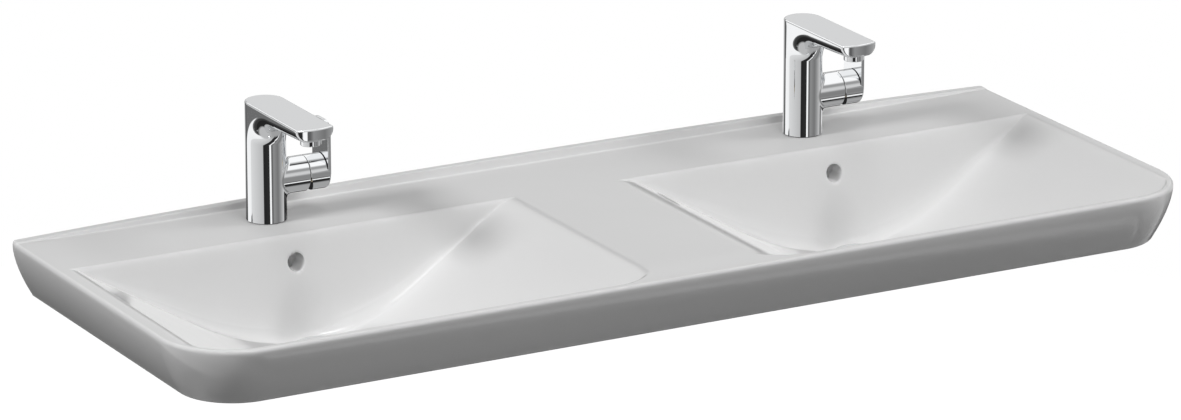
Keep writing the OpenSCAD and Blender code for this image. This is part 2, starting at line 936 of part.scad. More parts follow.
module studs(side) {
  stud_low = clamp_low - deck_z - stud_nut_h - stud_out;
  color(steel_c)
    at_tap(side)
      for (x = [-stud_x, stud_x])
        translate([x, 0, stud_low])
          cylinder(r = stud_r, h = stud_in + gasket_t - stud_low);
}

module stud_nuts(side) {
  color(steel_c)
    at_tap(side)
      for (x = [-stud_x, stud_x])
        translate([x, 0, clamp_low - deck_z - stud_nut_h])
          hex_nut(stud_nut_af, stud_nut_h, stud_r);
}

// Waste, drawn about the drain hole's axis at rim level

module at_waste(side) {
  translate([side * bowl_x, -drain_y, 0])
    children();
}

module flange_seal(side) {
  color(rubber_c)
    at_waste(side)
      translate([0, 0, -bowl_depth])
        ring(flange_dia / 2 - seal_t, drain_dia / 2, seal_t);
}

module waste_body(side) {
  color(chrome_c)
    at_waste(side)
      difference() {
        union() {
          translate([0, 0, flange_z])
            cylinder(r = flange_dia / 2, h = flange_t - flange_edge);
          translate([0, 0, flange_top - flange_edge])
            cylinder(r1 = flange_dia / 2, r2 = flange_dia / 2 - flange_edge, h = flange_edge);
          translate([0, 0, tail_low])
            cylinder(r = tail_r, h = flange_z - tail_low);
        }
        translate([0, 0, tail_low + outlet_len])
          ring(tail_r + over, tail_r - relief_cut, relief_w);
        translate([0, 0, flange_z + cup_floor])
          cylinder(r = cup_r, h = flange_t);
        difference() {
          translate([0, 0, tail_low - over])
            cylinder(r = tail_bore / 2, h = flange_top - tail_low);
          translate([0, 0, guide_z])
            cylinder(r = guide_boss_r, h = guide_web_h);
          translate([-tail_bore, -guide_arm_w / 2, guide_z])
            cube([2 * tail_bore, guide_arm_w, guide_web_h]);
          translate([-guide_arm_w / 2, -tail_bore, guide_z])
            cube([guide_arm_w, 2 * tail_bore, guide_web_h]);
        }
        translate([0, 0, guide_z - over])
          cylinder(r = guide_r, h = guide_web_h + 2 * over);
        translate([-window_w / 2, -tail_dia, duct_low - window_h / 2])
          cube([window_w, 2 * tail_dia, window_h]);
      }
}

module under_seal(side) {
  color(rubber_c)
    at_waste(side)
      translate([0, 0, boss_bottom - under_seal_t])
        ring(under_seal_r, tail_r, under_seal_t);
}

module waste_nut(side) {
  color(brass_c)
    at_waste(side)
      translate([0, 0, boss_bottom - under_seal_t - waste_nut_h])
        hex_nut(waste_nut_af, waste_nut_h, tail_r);
}

module plug_guide(side) {
  color(plastic_c)
    at_waste(side)
      translate([0, 0, guide_z])
        ring(guide_r, plug_stem_r + run_fit, guide_len);
}

module plug(side) {
  color(chrome_c)
    at_waste(side) {
      translate([0, 0, plug_z])
        cylinder(r = cup_r - plug_gap, h = plug_head_t);
      translate([0, 0, plug_z + plug_head_t])
        cylinder(r1 = cup_r - plug_gap, r2 = cup_r - plug_gap - 2 * plug_crown, h = plug_crown);
      translate([0, 0, guide_z])
        cylinder(r = plug_stem_r, h = plug_z - guide_z);
    }
}

module plug_seal(side) {
  color(rubber_c)
    at_waste(side)
      translate([0, 0, plug_z - plug_seal_t])
        ring(cup_r - 2 * plug_gap, tail_bore / 2 + plug_gap, plug_seal_t);
}

ceramic_basin();
wall_sleeves();
wall_washers();
wall_nuts();
tap_body(-1);  // left_tap_body
base_gasket(-1);  // left_base_gasket
cartridge(-1);  // left_cartridge
cartridge_nut(-1);  // left_cartridge_nut
stem_carrier(-1);  // left_stem_carrier
lever_pin(-1);  // left_lever_pin
lever_stem(-1);  // left_lever_stem
lever(-1);  // left_lever
lever_screw(-1);  // left_lever_screw
aerator_housing(-1);  // left_aerator_housing
aerator_insert(-1);  // left_aerator_insert
clamp_rubber(-1);  // left_clamp_rubber
clamp_plate(-1);  // left_clamp_plate
studs(-1);  // left_studs
stud_nuts(-1);  // left_stud_nuts
flange_seal(-1);  // left_flange_seal
waste_body(-1);  // left_waste_body
under_seal(-1);  // left_under_seal
waste_nut(-1);  // left_waste_nut
plug_guide(-1);  // left_plug_guide
plug(-1);  // left_plug
plug_seal(-1);  // left_plug_seal
tap_body(1);  // right_tap_body
base_gasket(1);  // right_base_gasket
cartridge(1);  // right_cartridge
cartridge_nut(1);  // right_cartridge_nut
stem_carrier(1);  // right_stem_carrier
lever_pin(1);  // right_lever_pin
lever_stem(1);  // right_lever_stem
lever(1);  // right_lever
lever_screw(1);  // right_lever_screw
aerator_housing(1);  // right_aerator_housing
aerator_insert(1);  // right_aerator_insert
clamp_rubber(1);  // right_clamp_rubber
clamp_plate(1);  // right_clamp_plate
studs(1);  // right_studs
stud_nuts(1);  // right_stud_nuts
flange_seal(1);  // right_flange_seal
waste_body(1);  // right_waste_body
under_seal(1);  // right_under_seal
waste_nut(1);  // right_waste_nut
plug_guide(1);  // right_plug_guide
plug(1);  // right_plug
plug_seal(1);  // right_plug_seal
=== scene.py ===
"""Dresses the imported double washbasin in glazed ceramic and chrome, and sets up its studio.

Shapes are written in millimetres in the part's own frame: origin in the middle of the wall face at
rim level, +X along the wall, +Y into the wall, +Z up. They are turned into metres as meshes are made.
"""

import json
import math

import bmesh
import bpy
from mathutils import Euler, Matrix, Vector


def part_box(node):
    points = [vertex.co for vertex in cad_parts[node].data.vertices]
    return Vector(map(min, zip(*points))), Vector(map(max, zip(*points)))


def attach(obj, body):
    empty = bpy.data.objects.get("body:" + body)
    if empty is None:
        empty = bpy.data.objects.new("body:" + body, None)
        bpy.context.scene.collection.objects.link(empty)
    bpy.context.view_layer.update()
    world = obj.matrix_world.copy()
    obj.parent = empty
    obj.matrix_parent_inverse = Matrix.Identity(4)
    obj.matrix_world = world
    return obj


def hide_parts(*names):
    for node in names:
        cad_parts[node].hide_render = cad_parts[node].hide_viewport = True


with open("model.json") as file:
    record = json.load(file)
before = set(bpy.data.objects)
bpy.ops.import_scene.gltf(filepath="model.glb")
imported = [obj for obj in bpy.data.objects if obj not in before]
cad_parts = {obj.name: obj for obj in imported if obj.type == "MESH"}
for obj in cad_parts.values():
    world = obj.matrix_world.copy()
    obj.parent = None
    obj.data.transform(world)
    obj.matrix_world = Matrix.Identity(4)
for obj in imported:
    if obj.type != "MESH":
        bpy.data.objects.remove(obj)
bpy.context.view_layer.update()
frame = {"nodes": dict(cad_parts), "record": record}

MM = 0.001
# How far cuts and joined solids run past one another.
OVER = 1
# Points nearer than this become one.
LATHE_MERGE = 0.0005
SIDES = {"left": -1, "right": 1}


def node_box(node):
    """Lowest and highest corner of a CAD node, in millimetres."""
    low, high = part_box(node)
    return low / MM, high / MM


# Sizes taken from the frame

basin_low, basin_high = node_box("ceramic_basin")
BASIN_W = basin_high.x - basin_low.x
BASIN_D = -basin_low.y
tap_low, tap_high = node_box("right_tap_body")
gasket_low, gasket_high = node_box("right_base_gasket")
lever_high = node_box("right_lever")[1]
waste_low, waste_high = node_box("right_waste_body")
aerator_low, aerator_high = node_box("right_aerator_housing")
DECK_Z = gasket_low.z
BOWL_X = (gasket_low.x + gasket_high.x) / 2
TAP_Y = -(gasket_low.y + gasket_high.y) / 2
DRAIN_Y = -(waste_low.y + waste_high.y) / 2

# Basin sizes that the frame doesn't give by itself

SKIRT_H = 68
SKIRT_INSET = 24
INSET_POWER = 1.6
FRONT_CORNER_R = 90
REAR_CORNER_R = 8
RIM_EDGE_R = 4.5
RIM_W = 13
DECK_DROP = -DECK_Z
DECK_BLEND = 45
WALL_T = 11
BACK_T = 12
LIP_W = 10
LIP_ROUND = 3
LIP_FLAT_SHARE = 1 / 3
UPSTAND_H = 9
UPSTAND_END = 1
UPSTAND_D = 15
UPSTAND_RUN = 4
CROWN_POWER = 2.4
REAR_EDGE_R = 2
BRIDGE_W = 154
BRIDGE_ROUND = 20
OUTER_ROUND = 7
EDGE_BLEND = 8
REAR_EDGE_BLEND = 18
BOWL_REAR = 131
BOWL_DEPTH = 116
SIDE_SLOPE = math.tan(math.radians(30))
REAR_SLOPE = math.tan(math.radians(75))
FRONT_SLOPE = math.tan(math.radians(62))
FLOOR_SLOPE = math.tan(math.radians(19))
BOWL_CORNER_R = 68
CREASE_SHARE = 0.5
TOE_SHARE = 0.7
TOE_BLEND_SHARE = 0.35
SEAT_R = 34
SEAT_FADE = 24
FLOOR_START = 240
BOSS_R = 40
BOSS_H = 18
OVERFLOW_R = 10.75
OVERFLOW_DROP = 31.5
OVERFLOW_ROUND = 1.6
DRAIN_R = 23
DUCT_R = 5.5
DUCT_WALL = 5
DUCT_CLEAR = 2
DUCT_Y = 115.5
DUCT_LOW = -126
COLLAR_R = OVERFLOW_R + DUCT_WALL
COLLAR_END = BOWL_REAR + OVERFLOW_DROP / REAR_SLOPE - WALL_T / 2
BULGE_SHIFT = 8
TAP_HOLE_R = 17.5
FIXING_HOLE_R = 11
FIXING_PITCH = 280
FIXING_DROP = 45

BOWL_OUTER = BASIN_W / 2 - RIM_W
BOWL_INNER = BRIDGE_W / 2
BOWL_HALF = (BOWL_OUTER - BOWL_INNER) / 2
BOWL_FRONT = BASIN_D - RIM_W
VEE_DEPTH = SIDE_SLOPE * (BOWL_HALF - OUTER_ROUND)
FLOOR_BLEND = 4 * (VEE_DEPTH + DECK_DROP - BOWL_DEPTH)
BOSS_BOTTOM = -BOWL_DEPTH - BOSS_H
DECK_UNDER = DECK_Z - WALL_T


# Mesh helpers


def spread(start, end, count):
    """Evenly spaced values after start, up to and with end."""
    return [start + (end - start) * (i + 1) / count for i in range(count)]


def quarter(steps):
    """Angles from nought up to a right angle."""
    return [0.0] + spread(0, math.pi / 2, steps)


def drawn_in(outline, inset):
    """A closed outline that runs anticlockwise, with each point moved inwards."""
    points = []
    for i, (u, v) in enumerate(outline):
        ahead = Vector(outline[(i + 1) % len(outline)]) - Vector((u, v))
        behind = Vector((u, v)) - Vector(outline[i - 1])
        along = (ahead.normalized() + behind.normalized()).normalized()
        points.append((u - along.y * inset, v + along.x * inset))
    return points


def new_object(name, bm, sharp_angle=32, even=False):
    """Makes an object from a bmesh in millimetres, shaded smooth but for its sharp edges.

    Even shading keeps flat faces flat up to the rounded edges beside them.
    """
    bmesh.ops.scale(bm, vec=(MM, MM, MM), verts=bm.verts)
    mesh = bpy.data.meshes.new(name)
    bm.to_mesh(mesh)
    bm.free()
    mesh.polygons.foreach_set("use_smooth", [True] * len(mesh.polygons))
    mesh.set_sharp_from_angle(angle=math.radians(sharp_angle))
    obj = bpy.data.objects.new(name, mesh)
    bpy.context.scene.collection.objects.link(obj)
    if even:
        shading = obj.modifiers.new("even_shading", "WEIGHTED_NORMAL")
        shading.weight = 100
        shading.keep_sharp = True
    return obj


def bmesh_from(points, faces, merge=0.0):
    """A bmesh from points and faces, with points nearer than merge joined."""
    mesh = bpy.data.meshes.new("scratch")
    mesh.from_pydata(points, [], faces)
    bm = bmesh.new()
    bm.from_mesh(mesh)
    bpy.data.meshes.remove(mesh)
    if merge:
        bmesh.ops.remove_doubles(bm, verts=bm.verts, dist=merge)
        bmesh.ops.dissolve_degenerate(bm, edges=bm.edges, dist=merge / 10)
    bmesh.ops.recalc_face_normals(bm, faces=bm.faces)
    return bm


def grid_faces(first, rows, width, wrapped=False):
    """Four-sided faces over rows of points that lie one after the other, from the point first on."""
    faces = []
    for i in range(rows - 1):
        for k in range(width if wrapped else width - 1):
            a = first + i * width + k
            b = first + i * width + (k + 1) % width
            faces.append((a, b, b + width, a + width))
    return faces


def wrapped_faces(turns, width):
    """Faces over a profile of width points that is repeated once round."""
    faces = []
    for i in range(turns):
        j = (i + 1) % turns
        for k in range(width):
            m = (k + 1) % width
            faces.append((i * width + k, j * width + k, j * width + m, i * width + m))
    return faces


def capped_faces(rings, count):
    """Faces over rings of points one after the other, closed at both ends."""
    ends = [list(range(count)), list(range((rings - 1) * count, rings * count))]
    return grid_faces(0, rings, count, wrapped=True) + ends


def lathe(profile, segments=96, axis="Z"):
    """A closed solid turned from (radius, height) pairs. Ends on the axis close by themselves."""
    points = []
    for i in range(segments):
        c = math.cos(2 * math.pi * i / segments)
        s = math.sin(2 * math.pi * i / segments)
        for r, h in profile:
            points.append((r * c, r * s, h) if axis == "Z" else (h, r * c, r * s))
    return bmesh_from(points, wrapped_faces(segments, len(profile)), merge=LATHE_MERGE)


def rounded(corner_r, corner_h, r_sign, h_sign, radius, steps=6):
    """A quarter circle of a lathe profile that rounds the corner at (corner_r, corner_h)."""
    centre_r = corner_r - r_sign * radius
    centre_h = corner_h - h_sign * radius
    return [
        (centre_r + r_sign * radius * math.cos(turn), centre_h + h_sign * radius * math.sin(turn))
        for turn in quarter(steps)
    ]


def joined(parts):
    """One bmesh that holds all the given ones."""
    whole = bmesh.new()
    for part in parts:
        mesh = bpy.data.meshes.new("scratch")
        part.to_mesh(mesh)
        part.free()
        whole.from_mesh(mesh)
        bpy.data.meshes.remove(mesh)
    return whole


def moved(bm, x=0.0, y=0.0, z=0.0):
    """Shifts a bmesh and gives it back."""
    bmesh.ops.translate(bm, vec=(x, y, z), verts=bm.verts)
    return bm


def combined(bm, other, operation):
    """The union or difference of two closed bmeshes, as a new bmesh."""
    objects = []
    for part in (bm, other):
        mesh = bpy.data.meshes.new("scratch")
        part.to_mesh(mesh)
        part.free()
        obj = bpy.data.objects.new("scratch", mesh)
        bpy.context.scene.collection.objects.link(obj)
        objects.append(obj)
    modifier = objects[0].modifiers.new("cut", "BOOLEAN")
    modifier.operation = operation
    modifier.solver = "MANIFOLD"
    modifier.object = objects[1]
    graph = bpy.context.evaluated_depsgraph_get()
    result = bmesh.new()
    result.from_mesh(objects[0].evaluated_get(graph).to_mesh())
    for obj in objects:
        mesh = obj.data
        bpy.data.objects.remove(obj)
        bpy.data.meshes.remove(mesh)
    return result


# Surface of the ceramic, by the formulas of the part's source


def ease(t):
    """A soft step from nought to one."""
    c = min(1.0, max(0.0, t))
    return c * c * (3 - 2 * c)


def blend_up(a, b, k):
    """The higher of two surfaces, blended over a height k where they meet."""
    return max(a, b) + (max(k - abs(a - b), 0.0) ** 2 / (4 * k) if k > 0 else 0.0)


def blend_down(a, b, k):
    return -blend_up(-a, -b, k)


def fall_off(distance, radius):
    """How far a rounded edge lies below its corner, at a distance from the edge."""
    if distance >= radius:
        return 0.0
    return radius - math.sqrt(max(0.0, radius**2 - (radius - max(0.0, distance)) ** 2))


def rim_distance(x, y):
    """Distance in plan from the basin's outline, with its round front corners."""
    ex = FRONT_CORNER_R - (BASIN_W / 2 - abs(x))
    ey = FRONT_CORNER_R - (BASIN_D + y)
    if ex > 0 and ey > 0:
        return FRONT_CORNER_R - math.hypot(ex, ey)
    return FRONT_CORNER_R - max(ex, ey)


def shelf_z(x, y):
    """The shelf with its rim and upstand, before the bowls are scooped out."""
    deck = -DECK_DROP * ease((rim_distance(x, y) - RIM_W) / DECK_BLEND)
    crown = 1 - min(1.0, abs(2 * x / BASIN_W)) ** CROWN_POWER
    top = UPSTAND_END + (UPSTAND_H - UPSTAND_END) * crown
    return deck + (top - deck) * ease((y + UPSTAND_D) / UPSTAND_RUN)


def corner_setback(edge):
    """How far a bowl's front corner draws back, at a distance from the bowl's side."""
    t = min(BOWL_CORNER_R, max(0.0, BOWL_CORNER_R - edge))
    return BOWL_CORNER_R - math.sqrt(BOWL_CORNER_R**2 - t * t)


def vee_z(u):
    """The two side slopes of a bowl, run together in a wide round valley."""
    inner = SIDE_SLOPE * (BOWL_INNER + OUTER_ROUND - u)
    outer = SIDE_SLOPE * (u - BOWL_OUTER + OUTER_ROUND)
    return blend_up(
        blend_down(0, inner, SIDE_SLOPE * BRIDGE_ROUND),
        blend_down(0, outer, SIDE_SLOPE * OUTER_ROUND),
        FLOOR_BLEND,
    )


def bowl_z(x, y, grow=0.0):
    """Depth of a bowl, as a negative number. Grow moves its rear and front walls outwards."""
    u = abs(x)
    floor_z = DECK_DROP - BOWL_DEPTH
    vee = vee_z(u)
    ramp = min(0.0, floor_z - FLOOR_SLOPE * (y + FLOOR_START))
    sides = blend_up(vee, ramp, -TOE_BLEND_SHARE * max(vee, ramp))
    rear = blend_down(0, REAR_SLOPE * (y + BOWL_REAR - grow), REAR_EDGE_BLEND)
    edge = min(u - BOWL_INNER + BRIDGE_ROUND, BOWL_OUTER - u)
    ahead = BOWL_FRONT + y - corner_setback(edge) + grow
    front = blend_down(0, -FRONT_SLOPE * ahead, EDGE_BLEND)
    back = blend_up(sides, rear, -CREASE_SHARE * max(sides, rear))
    all_round = blend_up(back, front, -TOE_SHARE * max(back, front))
    away = math.hypot(u - BOWL_X, y + DRAIN_Y)
    return floor_z + (all_round - floor_z) * ease((away - SEAT_R) / SEAT_FADE)


def top_z(x, y, from_wall):
    """The glazed top, with its rounded rim and rear edge."""
    z = shelf_z(x, y) + bowl_z(x, y)
    return z - fall_off(rim_distance(x, y), RIM_EDGE_R) - fall_off(from_wall, REAR_EDGE_R)


def under_z(x, y):
    """The underside of the shelf and the bowls."""
    z = min(shelf_z(x, min(y, -UPSTAND_D)), 0.0) - WALL_T + bowl_z(x, y, BULGE_SHIFT)
    return max(z, BOSS_BOTTOM)


def overflow_dent(x, y, z):
    """How far the wall is drawn back by the rounded edge of an overflow hole."""
    away = math.hypot(abs(x) - BOWL_X, z + OVERFLOW_DROP)
    return fall_off(away - OVERFLOW_R, OVERFLOW_ROUND)


# Plan grid of the ceramic. Columns run from the left end to the right, rows from the wall to the front.

CORNER_X = BASIN_W / 2 - FRONT_CORNER_R
BRIDGE_FROM_SHARE = 1.3
BRIDGE_TO_SHARE = 1.4
BRIDGE_FROM = BOWL_INNER - BRIDGE_FROM_SHARE * BRIDGE_ROUND
BRIDGE_TO = BOWL_INNER + BRIDGE_TO_SHARE * BRIDGE_ROUND
OVERFLOW_FIELD_SHARE = 1.6
OVERFLOW_FIELD = OVERFLOW_FIELD_SHARE * OVERFLOW_R
HALF_COLUMNS = (
    [0.0]
    + spread(0, BRIDGE_FROM, 6)
    + spread(BRIDGE_FROM, BRIDGE_TO, 26)
    + spread(BRIDGE_TO, BOWL_X - OVERFLOW_FIELD, 30)
    + spread(BOWL_X - OVERFLOW_FIELD, BOWL_X + OVERFLOW_FIELD, 30)
    + spread(BOWL_X + OVERFLOW_FIELD, CORNER_X, 28)
)
CORNER_ANGLES = spread(0, math.pi / 2, 44)
SPLIT_SHARE = 0.62
SPLIT_Y = SPLIT_SHARE * BASIN_D
LEAST_FOOT = 6
WALL_END_SHARE = 1.05
FOOT_END_SHARE = 1.9
FRONT_BEND_SHARE = 0.55
FRONT_ROWS = 72
FRONT_CROWDING = 1.35


def column_x(inset):
    """Where the columns of the plan grid start, for an outline that stands in by inset."""
    r = FRONT_CORNER_R - inset
    half = HALF_COLUMNS + [CORNER_X + r * math.sin(a) for a in CORNER_ANGLES]
    return [-x for x in reversed(half)] + half[1:]


def front_y(x, inset):
    """The front outline, with its round corners."""
    r = FRONT_CORNER_R - inset
    e = min(r, max(0.0, abs(x) - CORNER_X))
    return -(BASIN_D - FRONT_CORNER_R) - math.sqrt(r * r - e * e)


def rear_y(x, inset):
    """The rear outline, with its small corners."""
    e = min(REAR_CORNER_R, max(0.0, abs(x) - (BASIN_W / 2 - inset - REAR_CORNER_R)))
    return -(REAR_CORNER_R - math.sqrt(REAR_CORNER_R**2 - e * e))


def rear_rows(x, grow):
    """Distances of the rows from the wall, down to the split, for one column."""
    edge = BOWL_REAR - grow
    lip = REAR_EDGE_BLEND / REAR_SLOPE
    foot = max(LEAST_FOOT, -vee_z(abs(x)) / REAR_SLOPE)
    wall_end = edge + WALL_END_SHARE * foot
    foot_end = edge + FOOT_END_SHARE * foot
    return (
        [0.0]
        + spread(0, REAR_EDGE_R, 5)
        + spread(REAR_EDGE_R, UPSTAND_D - UPSTAND_RUN, 3)
        + spread(UPSTAND_D - UPSTAND_RUN, UPSTAND_D, 10)
        + spread(UPSTAND_D, edge - 2 * lip, 16)
        + spread(edge - 2 * lip, edge, 8)
        + spread(edge, wall_end, 56)
        + spread(wall_end, foot_end, 12)
        + spread(foot_end, SPLIT_Y, 16)
    )


FRONT_SHARES = spread(0, FRONT_BEND_SHARE, 18) + [
    1 - (1 - FRONT_BEND_SHARE) * (1 - share) ** FRONT_CROWDING for share in spread(0, 1, FRONT_ROWS)
]
ROWS = len(rear_rows(0, 0)) + len(FRONT_SHARES)


def plan_grid(inset, rear_inset, grow=0.0):
    """Columns of plan points, given how far the sides and the rear stand in from the outline."""
    columns = []
    for x in column_x(inset):
        y0 = rear_y(x, inset) - rear_inset
        y1 = front_y(x, inset)
        column = [(x, y0 * max(0.0, 1 - d / TAP_Y) - d) for d in rear_rows(x, grow)]
        column += [(x, -SPLIT_Y + s * (y1 + SPLIT_Y)) for s in FRONT_SHARES]
        columns.append(column)
    return columns


def edge_walk(columns):
    """The grid's outline as (column, row) pairs, once round."""
    last = len(columns) - 1
    return (
        [(0, r) for r in range(ROWS)]
        + [(c, ROWS - 1) for c in range(1, last + 1)]
        + [(last, r) for r in range(ROWS - 2, -1, -1)]
        + [(c, 0) for c in range(last - 1, 0, -1)]
    )


def strip_faces(ring_a, ring_b):
    """Faces between two closed rings of points."""
    n = len(ring_a)
    return [(ring_a[i], ring_a[(i + 1) % n], ring_b[(i + 1) % n], ring_b[i]) for i in range(n)]


def skirt_levels():
    """Pairs of inset and height down the skirt and round its lower edge."""
    start = RIM_EDGE_R / SKIRT_H
    levels = []
    for share in spread(start, 1 - LIP_ROUND / SKIRT_H, 22):
        inset = SKIRT_INSET * ((share - start) / (1 - start)) ** INSET_POWER
        levels.append((inset, -SKIRT_H * share))
    last_inset = levels[-1][0]
    for turn in quarter(6)[1:]:
        flat = LIP_ROUND * LIP_FLAT_SHARE * turn / (math.pi / 2)
        inset = last_inset + LIP_ROUND * (1 - math.cos(turn)) + flat
        levels.append((inset, -SKIRT_H + LIP_ROUND * (1 - math.sin(turn))))
    return levels


def ceramic_skin():
    """Top surface, skirt, lower lip and underside as one closed skin."""
    top_grid = plan_grid(0, 0)
    low_grid = plan_grid(SKIRT_INSET + LIP_W, BACK_T, BULGE_SHIFT)
    count = len(top_grid)
    walk = edge_walk(top_grid)
    points = []
    for column in top_grid:
        wall_y = rear_y(column[0][0], 0)
        for x, y in column:
            z = top_z(x, y, wall_y - y)
            points.append((x, y + overflow_dent(x, y, z) * (y < -UPSTAND_D * 2), z))
    faces = grid_faces(0, count, ROWS)
    ring = [c * ROWS + r for c, r in walk]
    for inset, z in skirt_levels():
        level_grid = plan_grid(inset, 0)
        first = len(points)
        points += [(*level_grid[c][r], z) for c, r in walk]
        next_ring = list(range(first, len(points)))
        faces += strip_faces(ring, next_ring)
        ring = next_ring
    first = len(points)
    for c, column in enumerate(low_grid):
        for r, (x, y) in enumerate(column):
            on_edge = c in (0, count - 1) or r in (0, ROWS - 1)
            if r == 1:
                x, y = column[0]
            points.append((x, y, -SKIRT_H if on_edge else under_z(x, y)))
    faces += grid_faces(first, count, ROWS)
    faces += strip_faces(ring, [first + c * ROWS + r for c, r in walk])
    return bmesh_from(points, faces, merge=0.0001)


def rod(radius, start, end, axis="Z", segments=64):
    """A plain cylinder for cutting, along Z or X, or along -Y, away from the wall."""
    profile = [(0, start), (radius, start), (radius, end), (0, end)]
    bm = lathe(profile, segments, "X" if axis == "X" else "Z")
    if axis == "Y":
        bmesh.ops.rotate(bm, matrix=Euler((math.pi / 2, 0, 0)).to_matrix(), verts=bm.verts)
    return bm


def block(low, high):
    """A plain box between two corners."""
    (x0, y0, z0), (x1, y1, z1) = low, high
    points = [(x, y, z) for x in (x0, x1) for y in (y0, y1) for z in (z0, z1)]
    faces = [(0, 1, 3, 2), (4, 6, 7, 5), (0, 4, 5, 1), (2, 3, 7, 6), (0, 2, 6, 4), (1, 5, 7, 3)]
    return bmesh_from(points, faces)


def ceramic_bosses():
    """The ring under each bowl that carries the waste, with the duct that reaches it."""
    out = DUCT_R + DUCT_WALL
    parts = []
    for side in SIDES.values():
        x = side * BOWL_X
        ring = rod(BOSS_R, BOSS_BOTTOM, BOSS_BOTTOM + BOSS_H - OVER, segments=128)
        low = block((-out, -DRAIN_Y, BOSS_BOTTOM), (out, -DUCT_Y + out, BOSS_BOTTOM + BOSS_H - DUCT_CLEAR))
        rise = block((-out, -DUCT_Y - out, BOSS_BOTTOM), (out, -DUCT_Y + out, DECK_UNDER + OVER))
        collar = rod(COLLAR_R, DUCT_Y - DUCT_WALL, COLLAR_END, "Y", 96)
        whole = combined(moved(ring, y=-DRAIN_Y), low, "UNION")
        whole = combined(whole, moved(collar, z=-OVERFLOW_DROP), "UNION")
        parts.append(moved(combined(whole, rise, "UNION"), x=x))
    return joined(parts)


def ceramic_cutters():
    """All that is cut out of the ceramic: wastes, overflows with their ducts, taps, fixings."""
    cutters = []
    for side in SIDES.values():
        x = side * BOWL_X
        drain = rod(DRAIN_R, BOSS_BOTTOM - OVER, -BOWL_DEPTH + OVER, segments=96)
        mouth = rod(OVERFLOW_R, DUCT_Y, BOWL_REAR + 2 * BULGE_SHIFT, "Y", 96)
        duct = rod(DUCT_R, DUCT_LOW, -OVERFLOW_DROP)
        channel = rod(DUCT_R, DUCT_Y - DUCT_R, DRAIN_Y, "Y")
        waterway = combined(moved(mouth, z=-OVERFLOW_DROP), moved(duct, y=-DUCT_Y), "UNION")
        waterway = combined(waterway, moved(channel, z=DUCT_LOW), "UNION")
        waterway = combined(waterway, moved(drain, y=-DRAIN_Y), "UNION")
        cutters.append(moved(waterway, x=x))
        tap_hole = rod(TAP_HOLE_R, DECK_UNDER - OVER, DECK_Z + OVER)
        cutters.append(moved(tap_hole, x=x, y=-TAP_Y))
        for hand in (-1, 1):
            fixing = rod(FIXING_HOLE_R, -OVER, BACK_T + OVER, "Y")
            cutters.append(moved(fixing, x=x + hand * FIXING_PITCH / 2, z=-FIXING_DROP))
    return joined(cutters)


def make_basin():
    """The glazed body with its bosses, ducts and holes."""
    skin = combined(ceramic_skin(), ceramic_bosses(), "UNION")
    return new_object("basin_glazed", combined(skin, ceramic_cutters(), "DIFFERENCE"), 38)


# Mixers, drawn in millimetres about the middle of the tap hole at shelf level

GASKET_STEP = 0.7
TAP_R = (gasket_high.x - gasket_low.x) / 2 + GASKET_STEP
TAP_H = tap_high.z - DECK_Z
GASKET_T = tap_low.z - DECK_Z
SPOUT_REACH = -TAP_Y - tap_low.y
LEVER_Z = 48.5
SPOUT_ROOT_T = 20
SPOUT_TIP_T = 15
SPOUT_EDGE_R = 12.5
SPOUT_TOP_ROUND = 2
NECK_R = 30
NOSE_ROUND = 2.5
NOSE_PLAN_R = 60
NOSE_FADE = 30
HOUSING_R = 21
HOUSING_END = 47
HOUSING_EDGE = 0.3
HOUSING_FLARE = 7
SIDE_FLARE = 1.5
# How far the flare's rim and the housing's inner end are sunk in the column.
FLARE_SINK = 0.04
ROOT_SINK = 1.2
HOUSING_BORE_R = 5
HOUSING_BORE_END = 12
CART_R = 14
CART_START = 14
CART_FACE = 40
CART_NUT_R = 15.5
CART_NUT_LAP = 0.5
WATERWAY_R = 5
SPOUT_WATER_R = 4
WATER_DROP = 9
WATER_Z = TAP_H - WATER_DROP
INLET_R = 4.5
INLET_Y = 8
PORT_R = 2.25
PORT_Z = 9
STUD_R = 3
STUD_X = 12.5
STUD_IN = 9
AERATOR_R = 12
AERATOR_Y = -TAP_Y - (aerator_low.y + aerator_high.y) / 2
AERATOR_PROUD = 6.5
AERATOR_UP = 5.5
AERATOR_STEP = 1
AERATOR_WALL = 2
AERATOR_EDGE = 0.8
AERATOR_BEVEL = 0.4
AERATOR_SEAT_GAP = 0.02
METAL_SHARP = 30


def spout_under(y):
    """Height of the spout's underside, at a distance from the column's middle."""
    return TAP_H - SPOUT_ROOT_T + (SPOUT_ROOT_T - SPOUT_TIP_T) * y / SPOUT_REACH


